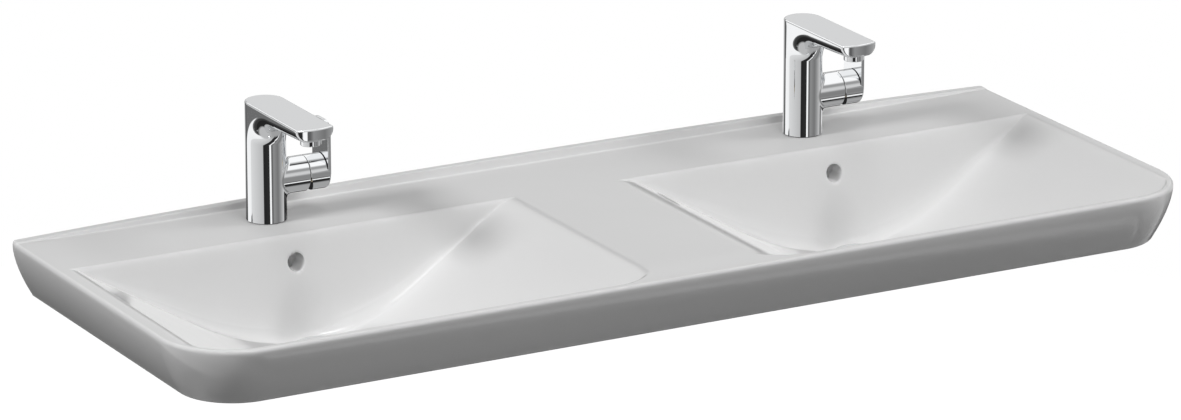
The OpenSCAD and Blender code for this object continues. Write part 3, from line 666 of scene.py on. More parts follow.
def belly_stations():
    """Sections from the spout's nose back to the column and down it.

    Each is (y, z, turn, radius, trim): a point of the belly line, the turn of its inward normal from
    straight up towards the wall, the rounding of the section's edges, and how far it is drawn in.
    """
    slope = math.atan((SPOUT_ROOT_T - SPOUT_TIP_T) / SPOUT_REACH)
    centre_y = -TAP_R - NECK_R
    centre_z = spout_under(TAP_R + NECK_R) - NECK_R / math.cos(slope)
    centre_z += NECK_R * math.sin(slope) * math.tan(slope)
    neck_start = centre_y - NECK_R * math.sin(slope)
    stations = []
    for turn in reversed(quarter(8)):
        y = -SPOUT_REACH + NOSE_ROUND * (1 - math.sin(turn))
        stations.append((y, spout_under(-y), 0.0, SPOUT_EDGE_R, NOSE_ROUND * (1 - math.cos(turn))))
    start = stations[-1][0]
    for y in spread(start, neck_start, 22):
        share = (y - start) / (neck_start - start)
        stations.append((y, spout_under(-y), slope * share, SPOUT_EDGE_R, 0.0))
    corner = math.atan2(-centre_y, TAP_H - SPOUT_TOP_ROUND - centre_z)
    for turn in spread(slope, corner, 16) + spread(corner, math.pi / 2, 16):
        radius = SPOUT_EDGE_R + (TAP_R - SPOUT_EDGE_R) * ease(turn / (math.pi / 2))
        y = centre_y + NECK_R * math.sin(turn)
        stations.append((y, centre_z + NECK_R * math.cos(turn), turn, radius, 0.0))
    for z in spread(centre_z, GASKET_T, 16):
        stations.append((-TAP_R, z, math.pi / 2, TAP_R, 0.0))
    return stations


def belly_section(radius, trim, flats=10, arcs=16):
    """Pairs of x and draw-back across the belly, from one side plane to the other."""
    half = TAP_R - trim
    r = max(radius - trim, 1.0)
    right = [(half - r + r * math.sin(a), trim + r - r * math.cos(a)) for a in quarter(arcs)]
    flat = [(-x, d) for x, d in reversed(right)]
    flat += [(x, trim) for x in spread(-(half - r), half - r, flats)[:-1]]
    return flat + right


def tap_shell(side_rows=8):
    """Column, neck and spout as one closed skin."""
    rim_z = TAP_H - SPOUT_TOP_ROUND
    stations = belly_stations()
    grid, rims = [], []
    for y, z, turn, radius, trim in stations:
        ny, nz = math.sin(turn), math.cos(turn)
        bow = max(0.0, 1 - (y + SPOUT_REACH) / NOSE_FADE)
        row = []
        for x, d in belly_section(radius, trim):
            row.append((x, y + d * ny + bow * x * x / (2 * NOSE_PLAN_R), z + d * nz))
        edge_x, edge_y, edge_z = row[-1]
        reach = (rim_z - edge_z) / nz if nz > 1e-6 else math.inf
        if ny > 1e-6:
            reach = min(reach, max(0.0, -edge_y / ny))
        side = [
            (edge_x, edge_y + reach * ny * k / side_rows, edge_z + reach * nz * k / side_rows)
            for k in range(1, side_rows + 1)
        ]
        grid.append([(-x, sy, sz) for x, sy, sz in reversed(side)] + row + side)
        rims.append(side[-1])
    width = len(grid[0])
    points = [point for row in grid for point in row]
    faces = grid_faces(0, len(grid), width)

    # Nose, filled from its lower edge straight up to the rim.
    nose = grid[0][side_rows:-side_rows]
    first = len(points)
    for x, y, z in nose:
        points += [(x, y, z + (rim_z - z) * k / side_rows) for k in range(side_rows + 1)]
    faces += grid_faces(first, len(nose), side_rows + 1)

    # Half of the column that faces the wall.
    levels = [z for x, y, z in rims if y > -1e-6]
    turns = [0.0] + spread(0, math.pi, 56)
    first = len(points)
    for z in levels:
        points += [(TAP_R * math.cos(a), TAP_R * math.sin(a), z) for a in turns]
    faces += grid_faces(first, len(levels), len(turns))

    # Rounded rim and flat top.
    rim_side = [(x, y) for x, y, z in rims if z > rim_z - 1e-6]
    outline = [(x, y) for x, y, z in nose] + rim_side[1:]
    outline += [(TAP_R * math.cos(a), TAP_R * math.sin(a)) for a in turns[1:]]
    outline += [(-x, y) for x, y in reversed(rim_side[1:-1])]
    count = len(outline)
    rim_first = len(points)
    rounding = quarter(6)
    for turn in rounding:
        z = rim_z + SPOUT_TOP_ROUND * math.sin(turn)
        points += [(x, y, z) for x, y in drawn_in(outline, SPOUT_TOP_ROUND * (1 - math.cos(turn)))]
    faces += grid_faces(rim_first, len(rounding), count, wrapped=True)
    faces.append(list(range(len(points) - count, len(points))))

    # Foot.
    last = (len(grid) - 1) * width
    foot = list(range(last + side_rows, last + width - side_rows))
    rear = first + (len(levels) - 1) * len(turns)
    faces.append(foot + list(range(rear + 1, rear + len(turns) - 1)))
    return bmesh_from(points, faces, merge=0.002)


def housing_shell(segments=128):
    """Side housing of the cartridge, with a soft flare where it leaves the column."""
    points = []
    for i in range(segments):
        turn = 2 * math.pi * i / segments
        c, s = math.cos(turn), math.sin(turn)
        flare = SIDE_FLARE + (HOUSING_FLARE - SIDE_FLARE) * s * s
        flare_r = HOUSING_R + flare
        start = math.sqrt(TAP_R**2 - (flare_r * c) ** 2)
        corner = math.sqrt(TAP_R**2 - (HOUSING_R * c) ** 2)
        end = corner + flare
        profile = [(HOUSING_BORE_R, 0), (HOUSING_BORE_R, HOUSING_BORE_END)]
        profile.append((start - ROOT_SINK, flare_r - ROOT_SINK / 2))
        for t in [0.0] + spread(0, 1, 8):
            x = (1 - t) ** 2 * (start - FLARE_SINK) + 2 * t * (1 - t) * corner + t * t * end
            r = (1 - t) ** 2 * flare_r + 2 * t * (1 - t) * HOUSING_R + t * t * HOUSING_R
            profile.append((x, r))
        profile += [(HOUSING_END - HOUSING_EDGE, HOUSING_R), (HOUSING_END, HOUSING_R - HOUSING_EDGE)]
        profile.append((HOUSING_END, 0))
        points += [(x, r * c, LEVER_Z + r * s) for x, r in profile]
    return bmesh_from(points, wrapped_faces(segments, len(profile)), merge=LATHE_MERGE)


def tap_waterways():
    """The way in for the hoses, the cartridge's seat, and the way out along the spout."""
    aerator_z = spout_under(AERATOR_Y)
    neck_r = AERATOR_R - AERATOR_STEP
    cut = moved(rod(CART_R, CART_START, CART_FACE, "X", 96), z=LEVER_Z)
    parts = [
        moved(rod(CART_NUT_R, CART_FACE - CART_NUT_LAP, HOUSING_END + OVER, "X", 96), z=LEVER_Z),
        rod(WATERWAY_R, LEVER_Z + PORT_Z - PORT_R, WATER_Z),
        moved(rod(PORT_R, 0, CART_START + OVER, "X", 32), z=LEVER_Z + PORT_Z),
        moved(rod(SPOUT_WATER_R, 0, AERATOR_Y, "Y"), z=WATER_Z),
        moved(rod(neck_r, aerator_z - OVER, aerator_z + AERATOR_UP, segments=96), y=-AERATOR_Y),
        moved(rod(SPOUT_WATER_R, aerator_z, WATER_Z), y=-AERATOR_Y),
    ]
    for hand in (-1, 1):
        parts.append(moved(rod(PORT_R, 0, CART_START + OVER, "X", 32), y=hand * INLET_Y, z=LEVER_Z))
        parts.append(moved(rod(INLET_R, 0, LEVER_Z), y=hand * INLET_Y))
        parts.append(moved(rod(STUD_R, 0, STUD_IN + GASKET_T), x=hand * STUD_X))
    for part in parts:
        cut = combined(cut, part, "UNION")
    return cut


def make_tap(side):
    """Column, neck, spout and housing in one piece, with its waterways and seats."""
    body = combined(tap_shell(), housing_shell(), "UNION")
    body = combined(body, tap_waterways(), "DIFFERENCE")
    body = moved(body, SIDES[side] * BOWL_X, -TAP_Y, DECK_Z)
    return new_object(side + "_mixer_body", body, METAL_SHARP, True)


def make_aerator(side):
    """Aerator ring, with its upper part in the spout."""
    low = -AERATOR_PROUD
    bore = AERATOR_R - AERATOR_WALL
    roof = AERATOR_UP - AERATOR_WALL
    neck = AERATOR_R - AERATOR_STEP
    profile = [(bore, roof), (bore, low + AERATOR_BEVEL), (bore + AERATOR_BEVEL, low)]
    profile += reversed(rounded(AERATOR_R, low, 1, -1, AERATOR_EDGE))
    profile += [(AERATOR_R, -AERATOR_SEAT_GAP), (neck, -AERATOR_SEAT_GAP), (neck, AERATOR_UP)]
    profile += [(SPOUT_WATER_R, AERATOR_UP), (SPOUT_WATER_R, roof)]
    bm = moved(lathe(profile, 96), y=-AERATOR_Y - TAP_Y, z=DECK_Z + spout_under(AERATOR_Y))
    return new_object(side + "_aerator_ring", moved(bm, x=SIDES[side] * BOWL_X), METAL_SHARP, True)


# Levers, in the same place

CAP_GAP = 0.8
CAP_START = HOUSING_END + CAP_GAP
CAP_END = lever_high.x - BOWL_X
CAP_EDGE_R = 1.8
CAP_BEVEL = 0.4
CAP_CAVITY_R = 14.5
CAP_CAVITY_END = 56
BLADE_T = 4
BLADE_W = 41
BLADE_H = lever_high.z - DECK_Z - LEVER_Z
BLADE_CORNER_R = 12
BLADE_EDGE = 0.5
BLADE_SLOT = 1
SLOT_FLOOR = 6
CUT_REACH = 30
RELIEF_ANGLE = 17.5
STEM_R = 3.5
STEM_END = 64
SCREW_X = 60.5
SCREW_R = 2


def blade_solid():
    """The upright blade, with rounded top corners and softened edges."""
    outline = [(-BLADE_W / 2, 0.0), (BLADE_W / 2, 0.0)]
    outline += rounded(BLADE_W / 2, BLADE_H, 1, 1, BLADE_CORNER_R, 12)
    outline += [(-y, z) for y, z in reversed(outline[2:])]
    count = len(outline)
    rings = []
    for turn in quarter(4):
        behind = CAP_END - BLADE_T + BLADE_EDGE * (1 - math.cos(turn))
        rings.append((BLADE_EDGE * (1 - math.sin(turn)), behind))
    rings += [(inset, 2 * CAP_END - BLADE_T - x) for inset, x in reversed(rings)]
    points = [(x, y, z) for inset, x in rings for y, z in drawn_in(outline, inset)]
    return bmesh_from(points, capped_faces(len(rings), count))


def make_lever(side):
    """Cap and blade in one piece, hollowed for the stem and the motion's relief."""
    profile = [(0, CAP_START)]
    profile += [(HOUSING_R - CAP_BEVEL, CAP_START), (HOUSING_R, CAP_START + CAP_BEVEL)]
    profile += rounded(HOUSING_R, CAP_END, 1, 1, CAP_EDGE_R, 10)
    profile += [(0, CAP_END)]
    body = lathe(profile, 128, "X")
    slot_start = CAP_END - BLADE_T - BLADE_SLOT
    slot = block((slot_start, -CUT_REACH, SLOT_FLOOR), (CAP_END + OVER, CUT_REACH, CUT_REACH))
    body = combined(body, slot, "DIFFERENCE")
    body = combined(body, blade_solid(), "UNION")
    relief = block((0, -CUT_REACH, -2 * CUT_REACH), (2 * CUT_REACH, CUT_REACH, 0))
    lean = Euler((0, math.radians(90 - RELIEF_ANGLE), 0)).to_matrix()
    bmesh.ops.rotate(relief, matrix=lean, verts=relief.verts)
    cavity = rod(CAP_CAVITY_R, CAP_START - OVER, CAP_CAVITY_END, "X", 96)
    cut = combined(moved(relief, x=CAP_START), cavity, "UNION")
    cut = combined(cut, rod(STEM_R, CAP_CAVITY_END - OVER, STEM_END, "X"), "UNION")
    cut = combined(cut, moved(rod(SCREW_R, -HOUSING_R - OVER, 0), x=SCREW_X), "UNION")
    body = combined(body, cut, "DIFFERENCE")
    place = (SIDES[side] * BOWL_X, -TAP_Y, DECK_Z + LEVER_Z)
    return new_object(side + "_lever_handle", moved(body, *place), METAL_SHARP, True)


# Wastes, drawn in millimetres about the drain hole's axis at rim level

FLANGE_R = (waste_high.x - waste_low.x) / 2
FLANGE_TOP = waste_high.z
FLANGE_T = 2.8
FLANGE_Z = FLANGE_TOP - FLANGE_T
FLANGE_ROUND = 1.6
FLANGE_LAP = 0.5
TAIL_LOW = waste_low.z
TAIL_R = 20.95
TAIL_BORE_R = 17.5
CUP_R = 21.5
CUP_FLOOR = 0.6
CUP_EDGE = 0.8
THREAD_DEPTH = 0.6
THREAD_PITCH = 2.309
PLUG_SEAL_T = 0.8
PLUG_GAP = 0.4
PLUG_HEAD_T = 2.8
PLUG_STEM_R = 4
PLUG_STEM_BEVEL = 0.5
PLUG_BEVEL = 0.3
PLUG_SIDE_DROP = 1.6
PLUG_ROUND = 1.2
# The plug's dome: shares of its radius, and how far it lies below its crown there.
PLUG_DOME = ((0.6, 0.15), (0.3, 0.03))
GUIDE_RISE = 6
GUIDE_Z = TAIL_LOW + GUIDE_RISE
GUIDE_WEB_H = 5
GUIDE_R = 6.5
GUIDE_BOSS_R = 9
GUIDE_ARM_W = 4
WINDOW_W = 14
WINDOW_H = 9


def thread_skin(radius, depth, pitch, start, end, segments=72, steps=6):
    """A threaded rod as a closed skin: its radius follows one helix, faded out at both ends."""
    rows = max(2, round((end - start) / pitch * steps))
    points = []
    for k in range(rows + 1):
        z = start + (end - start) * k / rows
        fade = min(1.0, (z - start) / pitch, (end - z) / pitch)
        for i in range(segments):
            share = (z / pitch - i / segments) % 1
            r = radius - depth * (1 - fade) - depth * fade * abs(2 * share - 1)
            turn = 2 * math.pi * i / segments
            points.append((r * math.cos(turn), r * math.sin(turn), z))
    return bmesh_from(points, capped_faces(rows + 1, segments))


def make_waste(side):
    """Flange with a soft edge, cup for the plug, threaded tail and the web that guides the plug."""
    flange = [(0, FLANGE_Z), (FLANGE_R, FLANGE_Z)]
    flange += rounded(FLANGE_R, FLANGE_TOP, 1, 1, FLANGE_ROUND)
    flange += [(CUP_R + CUP_EDGE, FLANGE_TOP), (0, FLANGE_TOP)]
    tail = thread_skin(TAIL_R, THREAD_DEPTH, THREAD_PITCH, TAIL_LOW, FLANGE_Z + FLANGE_LAP)
    body = combined(lathe(flange, 128), tail, "UNION")
    cup = rod(CUP_R, FLANGE_Z + CUP_FLOOR, FLANGE_TOP + OVER, segments=128)
    body = combined(body, cup, "DIFFERENCE")
    inside = rod(TAIL_BORE_R, TAIL_LOW - OVER, FLANGE_TOP - OVER, segments=96)
    web = rod(GUIDE_BOSS_R, GUIDE_Z, GUIDE_Z + GUIDE_WEB_H)
    for long_x, long_y in ((TAIL_R, GUIDE_ARM_W / 2), (GUIDE_ARM_W / 2, TAIL_R)):
        arm = block((-long_x, -long_y, GUIDE_Z), (long_x, long_y, GUIDE_Z + GUIDE_WEB_H))
        web = combined(web, arm, "UNION")
    web = combined(web, rod(GUIDE_R, GUIDE_Z - OVER, GUIDE_Z + GUIDE_WEB_H + OVER), "DIFFERENCE")
    body = combined(body, combined(inside, web, "DIFFERENCE"), "DIFFERENCE")
    half = WINDOW_W / 2
    window_low = DUCT_LOW - WINDOW_H / 2
    window = block((-half, -CUT_REACH, window_low), (half, CUT_REACH, window_low + WINDOW_H))
    body = moved(combined(body, window, "DIFFERENCE"), SIDES[side] * BOWL_X, -DRAIN_Y, 0)
    return new_object(side + "_waste_valve", body, METAL_SHARP, True)


def make_plug(side):
    """Push-open plug: a low dome with a softened edge, on its stem."""
    low = FLANGE_Z + CUP_FLOOR + PLUG_SEAL_T
    r = CUP_R - PLUG_GAP
    crown = low + PLUG_HEAD_T
    profile = [(0, GUIDE_Z), (PLUG_STEM_R - PLUG_STEM_BEVEL, GUIDE_Z)]
    profile += [(PLUG_STEM_R, GUIDE_Z + PLUG_STEM_BEVEL), (PLUG_STEM_R, low)]
    profile += [(r - PLUG_BEVEL, low), (r, low + PLUG_BEVEL)]
    profile += rounded(r, crown - PLUG_SIDE_DROP + PLUG_ROUND, 1, 1, PLUG_ROUND)
    profile += [(r * share, crown - drop) for share, drop in PLUG_DOME] + [(0, crown)]
    body = moved(lathe(profile, 128), SIDES[side] * BOWL_X, -DRAIN_Y, 0)
    return new_object(side + "_plug_dome", body, METAL_SHARP, True)


# Materials


def new_material(name):
    """A node material and its Principled shader."""
    material = bpy.data.materials.new(name)
    material.use_nodes = True
    return material, material.node_tree.nodes["Principled BSDF"]


def add_node(tree, kind, **inputs):
    """A new node, with its inputs set by their names in lower case."""
    node = tree.nodes.new(kind)
    for name, value in inputs.items():
        node.inputs[name.replace("_", " ").title()].default_value = value
    return node


def math_node(tree, operation, first, second):
    """The outcome of one sum on two sockets or numbers."""
    node = tree.nodes.new("ShaderNodeMath")
    node.operation = operation
    for socket, value in zip(node.inputs, (first, second)):
        if isinstance(value, (int, float)):
            socket.default_value = value
        else:
            tree.links.new(value, socket)
    return node.outputs[0]


def limits(tree, source, low, high):
    """Nought up to low, one from high on."""
    node = add_node(tree, "ShaderNodeMapRange", from_min=low, from_max=high)
    tree.links.new(source, node.inputs["Value"])
    return node.outputs["Result"]


def mixed(tree, share, first, second):
    """A mix of two colours or grey tones."""
    node = tree.nodes.new("ShaderNodeMix")
    node.data_type = "RGBA"
    tree.links.new(share, node.inputs["Factor"])
    for socket, value in zip((node.inputs["A"], node.inputs["B"]), (first, second)):
        if isinstance(value, (int, float)):
            socket.default_value = (value, value, value, 1)
        else:
            tree.links.new(value, socket)
    return node.outputs["Result"]


def object_noise(tree, scale, detail=2.0):
    """Noise over the object's own coordinates."""
    coordinates = tree.nodes.new("ShaderNodeTexCoord")
    noise = add_node(tree, "ShaderNodeTexNoise", scale=scale, detail=detail)
    tree.links.new(coordinates.outputs["Object"], noise.inputs["Vector"])
    return noise


def ramp_between(tree, source, low, high, low_colour, high_colour):
    """A colour that runs from one to another between two values of the source."""
    ramp = tree.nodes.new("ShaderNodeValToRGB")
    ramp.color_ramp.elements[0].position = low
    ramp.color_ramp.elements[1].position = high
    ramp.color_ramp.elements[0].color = (*low_colour, 1)
    ramp.color_ramp.elements[1].color = (*high_colour, 1)
    tree.links.new(source, ramp.inputs["Fac"])
    return ramp.outputs["Color"]


def add_bump(tree, shader, height, strength, distance):
    """Bumps a shader's surface by a height."""
    bump = add_node(tree, "ShaderNodeBump", strength=strength, distance=distance)
    tree.links.new(height, bump.inputs["Height"])
    tree.links.new(bump.outputs["Normal"], shader.inputs["Normal"])


def ceramic_material():
    """White glaze, a little wavy and a little uneven in tone."""
    material, shader = new_material("white_glaze")
    tree = material.node_tree
    tone = object_noise(tree, 3.0)
    colour = ramp_between(tree, tone.outputs["Fac"], 0.35, 0.65, (0.84, 0.84, 0.84), (0.87, 0.87, 0.87))
    tree.links.new(colour, shader.inputs["Base Color"])
    wave = object_noise(tree, 22.0, 1.0)
    add_bump(tree, shader, wave.outputs["Fac"], 0.05, 0.002)
    shader.inputs["Roughness"].default_value = 0.12
    shader.inputs["IOR"].default_value = 1.52
    return material


def chrome_material():
    """Polished chrome of slightly uneven gloss."""
    material, shader = new_material("polished_chrome")
    tree = material.node_tree
    tone = object_noise(tree, 60.0, 3.0)
    rough = add_node(tree, "ShaderNodeMapRange", to_min=0.03, to_max=0.05)
    tree.links.new(tone.outputs["Fac"], rough.inputs["Value"])
    tree.links.new(rough.outputs["Result"], shader.inputs["Roughness"])
    shader.inputs["Base Color"].default_value = (0.86, 0.87, 0.88, 1)
    shader.inputs["Metallic"].default_value = 1.0
    return material


GLOSS_SPREAD = 0.06
DARKER_SHARE = 0.9


def plain_material(name, colour, roughness, metallic=0.0):
    """Moulded, rolled or turned stock: slight changes of tone, gloss and surface."""
    material, shader = new_material(name)
    tree = material.node_tree
    tone = object_noise(tree, 90.0, 3.0)
    darker = tuple(DARKER_SHARE * c for c in colour)
    tint = ramp_between(tree, tone.outputs["Fac"], 0.3, 0.7, darker, colour)
    tree.links.new(tint, shader.inputs["Base Color"])
    gloss = add_node(tree, "ShaderNodeMapRange")
    gloss.inputs["To Min"].default_value = roughness - GLOSS_SPREAD
    gloss.inputs["To Max"].default_value = roughness + GLOSS_SPREAD
    tree.links.new(tone.outputs["Fac"], gloss.inputs["Value"])
    tree.links.new(gloss.outputs["Result"], shader.inputs["Roughness"])
    grain = object_noise(tree, 1400.0, 2.0)
    add_bump(tree, shader, grain.outputs["Fac"], 0.15, 0.0002)
    shader.inputs["Metallic"].default_value = metallic
    return material


# Studio

# The camera as fitted to the straight edges: place in metres, angles in degrees, and focal length
# over the picture's width.
CAMERA_PLACE = (-3.51900, -6.56892, 2.27442)
CAMERA_YAW = 28.866
CAMERA_PITCH = 17.404
CAMERA_FOCUS_SHARE = 6598.46 / 1181
SENSOR = 36.0
CLIP_END = 100
SKY_LIMITS = (0.47, 0.56)
SKY_TONES = (0.02, 0.03)
FLOOR_Z = -0.86
FLOOR_R = 2400
FLOOR_T = 10
FLOOR_TONE = 0.3
FLOOR_GLOW = 0.95


def make_camera():
    data = bpy.data.cameras.new("camera")
    data.sensor_width = SENSOR
    data.lens = CAMERA_FOCUS_SHARE * SENSOR
    data.clip_end = CLIP_END
    camera = bpy.data.objects.new("camera", data)
    camera.location = CAMERA_PLACE
    camera.rotation_euler = (math.radians(90 - CAMERA_PITCH), 0, math.radians(-CAMERA_YAW))
    bpy.context.scene.collection.objects.link(camera)
    bpy.context.scene.camera = camera


def seen_directly(tree):
    """One for camera, glossy and transmission rays, and nought for the rest."""
    path = tree.nodes.new("ShaderNodeLightPath").outputs
    either = math_node(tree, "MAXIMUM", path["Is Camera Ray"], path["Is Glossy Ray"])
    return math_node(tree, "MAXIMUM", either, path["Is Transmission Ray"])


def make_world():
    """White where it is seen, and a soft sky over a dark ground where it lights the object."""
    world = bpy.data.worlds.new("studio")
    world.use_nodes = True
    bpy.context.scene.world = world
    tree = world.node_tree
    tree.nodes.clear()
    coordinates = tree.nodes.new("ShaderNodeTexCoord")
    split = tree.nodes.new("ShaderNodeSeparateXYZ")
    tree.links.new(coordinates.outputs["Generated"], split.inputs["Vector"])
    height = add_node(tree, "ShaderNodeMapRange", from_min=-1.0, from_max=1.0)
    tree.links.new(split.outputs["Z"], height.inputs["Value"])
    ground, zenith = ((tone,) * 3 for tone in SKY_TONES)
    sky = ramp_between(tree, height.outputs["Result"], *SKY_LIMITS, ground, zenith)
    soft = add_node(tree, "ShaderNodeBackground", strength=1.0)
    tree.links.new(sky, soft.inputs["Color"])
    white = add_node(tree, "ShaderNodeBackground", strength=1.0, color=(1, 1, 1, 1))
    mix = tree.nodes.new("ShaderNodeMixShader")
    tree.links.new(seen_directly(tree), mix.inputs["Fac"])
    tree.links.new(soft.outputs["Background"], mix.inputs[1])
    tree.links.new(white.outputs["Background"], mix.inputs[2])
    output = tree.nodes.new("ShaderNodeOutputWorld")
    tree.links.new(mix.outputs["Shader"], output.inputs["Surface"])


def make_floor():
    """A plain floor that glows white where it is seen."""
    floor = new_object("floor", moved(rod(FLOOR_R, -FLOOR_T, 0, segments=128), z=FLOOR_Z / MM))
    material, shader = new_material("pale_floor")
    tree = material.node_tree
    shader.inputs["Base Color"].default_value = (FLOOR_TONE, FLOOR_TONE, FLOOR_TONE, 1)
    shader.inputs["Roughness"].default_value = 1.0
    shader.inputs["Specular IOR Level"].default_value = 0.0
    shader.inputs["Emission Color"].default_value = (1, 1, 1, 1)
    glow = add_node(tree, "ShaderNodeMapRange", to_max=FLOOR_GLOW)
    tree.links.new(seen_directly(tree), glow.inputs["Value"])
    tree.links.new(glow.outputs["Result"], shader.inputs["Emission Strength"])
    floor.data.materials.append(material)
    floor.visible_glossy = False


# Panels of the light tent below eye level: turn from the front towards the right, and tone.
TENT_LOW = [
    (-180, 0.04),
    (-160, 0.05),
    (-157, 0.15),
    (-151.6, 0.17),
    (-150.8, 1.05),
    (-119, 1.0),
    (-116, 0.78),
    (-70, 0.64),
    (-42, 0.55),
    (-40, 0.02),
    (-7, 0.03),
    (-5.5, 1.1),
    (2.5, 1.1),
    (4.5, 0.1),
    (10, 0.14),
    (17, 0.3),
    (44, 0.2),
    (62, 0.34),
    (88, 0.62),
    (91, 0.6),
    (93, 0.02),
    (180, 0.02),
]
# Tent above eye level: height angle and tone, in front and behind.
TENT_HIGH_FRONT = [
    (0, 0.3),
    (5, 0.55),
    (10, 0.72),
    (20, 0.66),
    (27, 0.36),
    (36, 0.36),
    (44, 1.1),
    (60, 1.1),
    (62.5, 0.05),
    (66, 0.05),
    (68, 1.1),
    (90, 1.1),
]
TENT_HIGH_REAR = [
    (0, 0.08),
    (7, 0.12),
    (9, 0.72),
    (19, 0.74),
    (20, 0.15),
    (24, 0.15),
    (25.5, 1.1),
    (90, 1.1),
]
TENT_R = 16000
# Lean of the lower panels: how far they turn for each degree below the height where it starts.
TENT_LEAN = 2.2
TENT_LEAN_FROM = 20
# Between these parts of a direction, each as (start, end), one panel gives way to the next:
# from low to high, from front to rear, from the left ground to the right, and down to the ground.
EYE_BLEND = (-0.06, 0.0)
REAR_BLEND = (-0.15, 0.15)
GROUND_BLEND = (0.0, 0.3)
STEEP_BLEND = (-0.76, -0.84)
LEFT_GROUND_TONE = 0.55
RIGHT_GROUND_TONE = 0.4
# The pale panel behind on the right, which the bowls' left sides mirror at a flat angle.
REAR_RIGHT_BLENDS = {"Y": (0.1, 0.5), "X": (-0.3, 0.2), "Z": (-0.303, -0.285)}
REAR_RIGHT_TONE = 0.85


def tone_ramp(tree, source, stops, low, high):
    """A colour ramp with a grey tone at each stop, between two limits."""
    ramp = tree.nodes.new("ShaderNodeValToRGB")
    elements = ramp.color_ramp.elements
    while len(elements) < len(stops):
        elements.new(0.5)
    for element, (at, tone) in zip(elements, stops):
        element.position = (at - low) / (high - low)
        element.color = (tone, tone, tone, 1)
    tree.links.new(source, ramp.inputs["Fac"])
    return ramp.outputs["Color"]


def tent_tones(tree):
    """The tone of the tent in each direction, as a colour socket."""
    coordinates = tree.nodes.new("ShaderNodeTexCoord")
    unit = tree.nodes.new("ShaderNodeVectorMath")
    unit.operation = "NORMALIZE"
    tree.links.new(coordinates.outputs["Object"], unit.inputs[0])
    split = tree.nodes.new("ShaderNodeSeparateXYZ")
    tree.links.new(unit.outputs["Vector"], split.inputs["Vector"])
    along = split.outputs
    to_front = math_node(tree, "MULTIPLY", along["Y"], -1.0)
    turn = math_node(tree, "ARCTAN2", along["X"], to_front)
    turn_share = math_node(tree, "MULTIPLY", turn, 0.5 / math.pi)
    turn_share = math_node(tree, "ADD", turn_share, 0.5)
    rise = math_node(tree, "ARCSINE", along["Z"], 0.0)
    below = math_node(tree, "ADD", rise, math.radians(TENT_LEAN_FROM))
    below = math_node(tree, "MINIMUM", below, 0.0)
    lean = math_node(tree, "MULTIPLY", below, TENT_LEAN * 0.5 / math.pi)
    turn_share = math_node(tree, "FRACT", math_node(tree, "ADD", turn_share, lean), 0.0)
    rise_share = math_node(tree, "DIVIDE", rise, math.pi / 2)
    low = tone_ramp(tree, turn_share, TENT_LOW, -180, 180)
    rear_right = 1.0
    for axis, blend in REAR_RIGHT_BLENDS.items():
        rear_right = math_node(tree, "MULTIPLY", limits(tree, along[axis], *blend), rear_right)
    low = mixed(tree, rear_right, low, REAR_RIGHT_TONE)
    front = tone_ramp(tree, rise_share, TENT_HIGH_FRONT, 0, 90)
    rear = tone_ramp(tree, rise_share, TENT_HIGH_REAR, 0, 90)
    high = mixed(tree, limits(tree, along["Y"], *REAR_BLEND), front, rear)
    whole = mixed(tree, limits(tree, along["Z"], *EYE_BLEND), low, high)
    ground = mixed(tree, limits(tree, along["X"], *GROUND_BLEND), LEFT_GROUND_TONE, RIGHT_GROUND_TONE)
    return mixed(tree, limits(tree, along["Z"], *STEEP_BLEND), whole, ground)


def make_tent():
    """A tent of pale and dark panels round the studio, for the chrome and the glaze to reflect."""
    bm = bmesh.new()
    bmesh.ops.create_icosphere(bm, subdivisions=4, radius=TENT_R)
    tent = new_object("reflection_tent", bm, 180)
    material = bpy.data.materials.new("tent_panels")
    material.use_nodes = True
    tree = material.node_tree
    tree.nodes.clear()
    glow = tree.nodes.new("ShaderNodeEmission")
    tree.links.new(tent_tones(tree), glow.inputs["Color"])
    output = tree.nodes.new("ShaderNodeOutputMaterial")
    tree.links.new(glow.outputs["Emission"], output.inputs["Surface"])
    tent.data.materials.append(material)
    tent.visible_camera = False
    tent.visible_diffuse = False
    tent.visible_shadow = False
    tent.visible_transmission = False


def area_lamp(name, place, target, width, height, power, seen=False):
    """A soft lamp aimed at a point, hidden from reflections unless seen. Lengths in metres."""
    data = bpy.data.lights.new(name, "AREA")
    data.shape = "RECTANGLE"
    data.size = width
    data.size_y = height
    data.energy = power
    lamp = bpy.data.objects.new(name, data)
    lamp.location = place
    lamp.rotation_euler = (Vector(target) - Vector(place)).to_track_quat("-Z", "Y").to_euler()
    lamp.visible_glossy = seen
    bpy.context.scene.collection.objects.link(lamp)


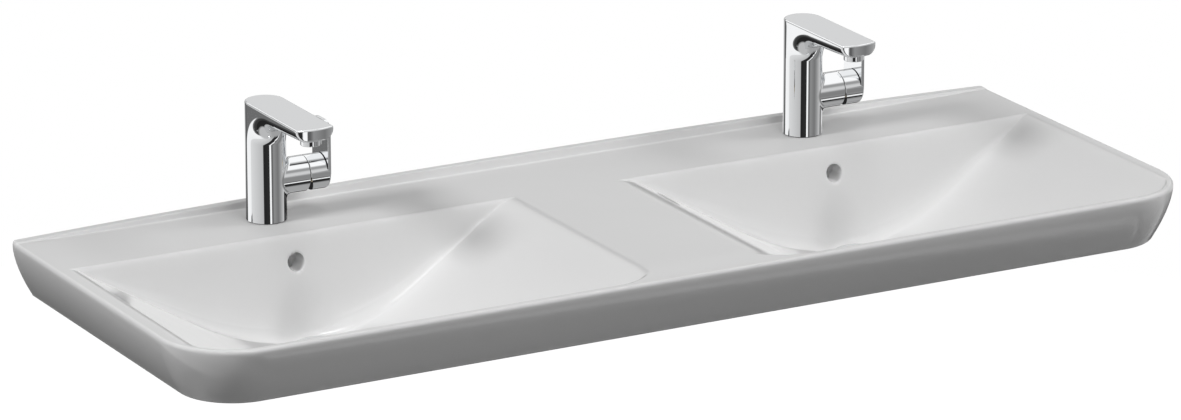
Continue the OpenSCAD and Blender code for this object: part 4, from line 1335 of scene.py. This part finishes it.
def make_lamps():
    """Two keys from the sides, two fills and a small softbox that the glaze's edges reflect."""
    area_lamp("top_softbox", (-0.3, -1.0, 2.8), (0, -0.2, 0), 0.5, 0.5, 7, True)
    area_lamp("left_key", (-3.4, -0.25, 2.4), (0, -0.2, 0), 1.0, 0.7, 78)
    area_lamp("right_key", (3.2, -1.5, 2.4), (0, -0.2, 0), 1.2, 0.8, 34)
    area_lamp("front_fill", (0.2, -2.9, 2.6), (0, -0.3, 0), 1.6, 0.6, 41)
    area_lamp("right_fill", (3.4, -0.6, 0.5), (0.6, -0.3, 0), 1.0, 0.8, 24)


# The whole scene


def dress(obj, node, body, slot):
    """Gives a new piece its material and its body, and hides the CAD node it stands for."""
    obj.data.materials.append(materials[slot])
    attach(obj, body)
    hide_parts(node)


bpy.context.scene.view_settings.view_transform = "Standard"
bpy.context.scene.cycles.caustics_reflective = False
make_camera()
make_world()
make_floor()
make_tent()
make_lamps()

materials = {
    "ceramic": ceramic_material(),
    "chrome": chrome_material(),
    "white_plastic": plain_material("white_plastic", (0.80, 0.80, 0.78), 0.42),
    "rubber": plain_material("black_rubber", (0.025, 0.025, 0.027), 0.62),
    "steel": plain_material("zinc_steel", (0.58, 0.59, 0.60), 0.34, 1.0),
    "brass": plain_material("turned_brass", (0.72, 0.55, 0.27), 0.30, 1.0),
}

basin = make_basin()
basin.visible_glossy = False
dress(basin, "ceramic_basin", "basin", "ceramic")
for hand in SIDES:
    dress(make_tap(hand), hand + "_tap_body", "basin", "chrome")
    dress(make_aerator(hand), hand + "_aerator_housing", "basin", "chrome")
    dress(make_lever(hand), hand + "_lever", hand + "_handle", "chrome")
    dress(make_waste(hand), hand + "_waste_body", "basin", "chrome")
    dress(make_plug(hand), hand + "_plug", hand + "_stopper", "chrome")

remade = ("_tap_body", "_aerator_housing", "_lever", "_waste_body", "_plug")
replaced = {"ceramic_basin"} | {hand + name for hand in SIDES for name in remade}
for subpart in frame["record"]["subparts"]:
    if subpart["node"] in replaced:
        continue
    node_object = frame["nodes"][subpart["node"]]
    node_object.data.materials.clear()
    node_object.data.materials.append(materials[subpart["material_slot"]])
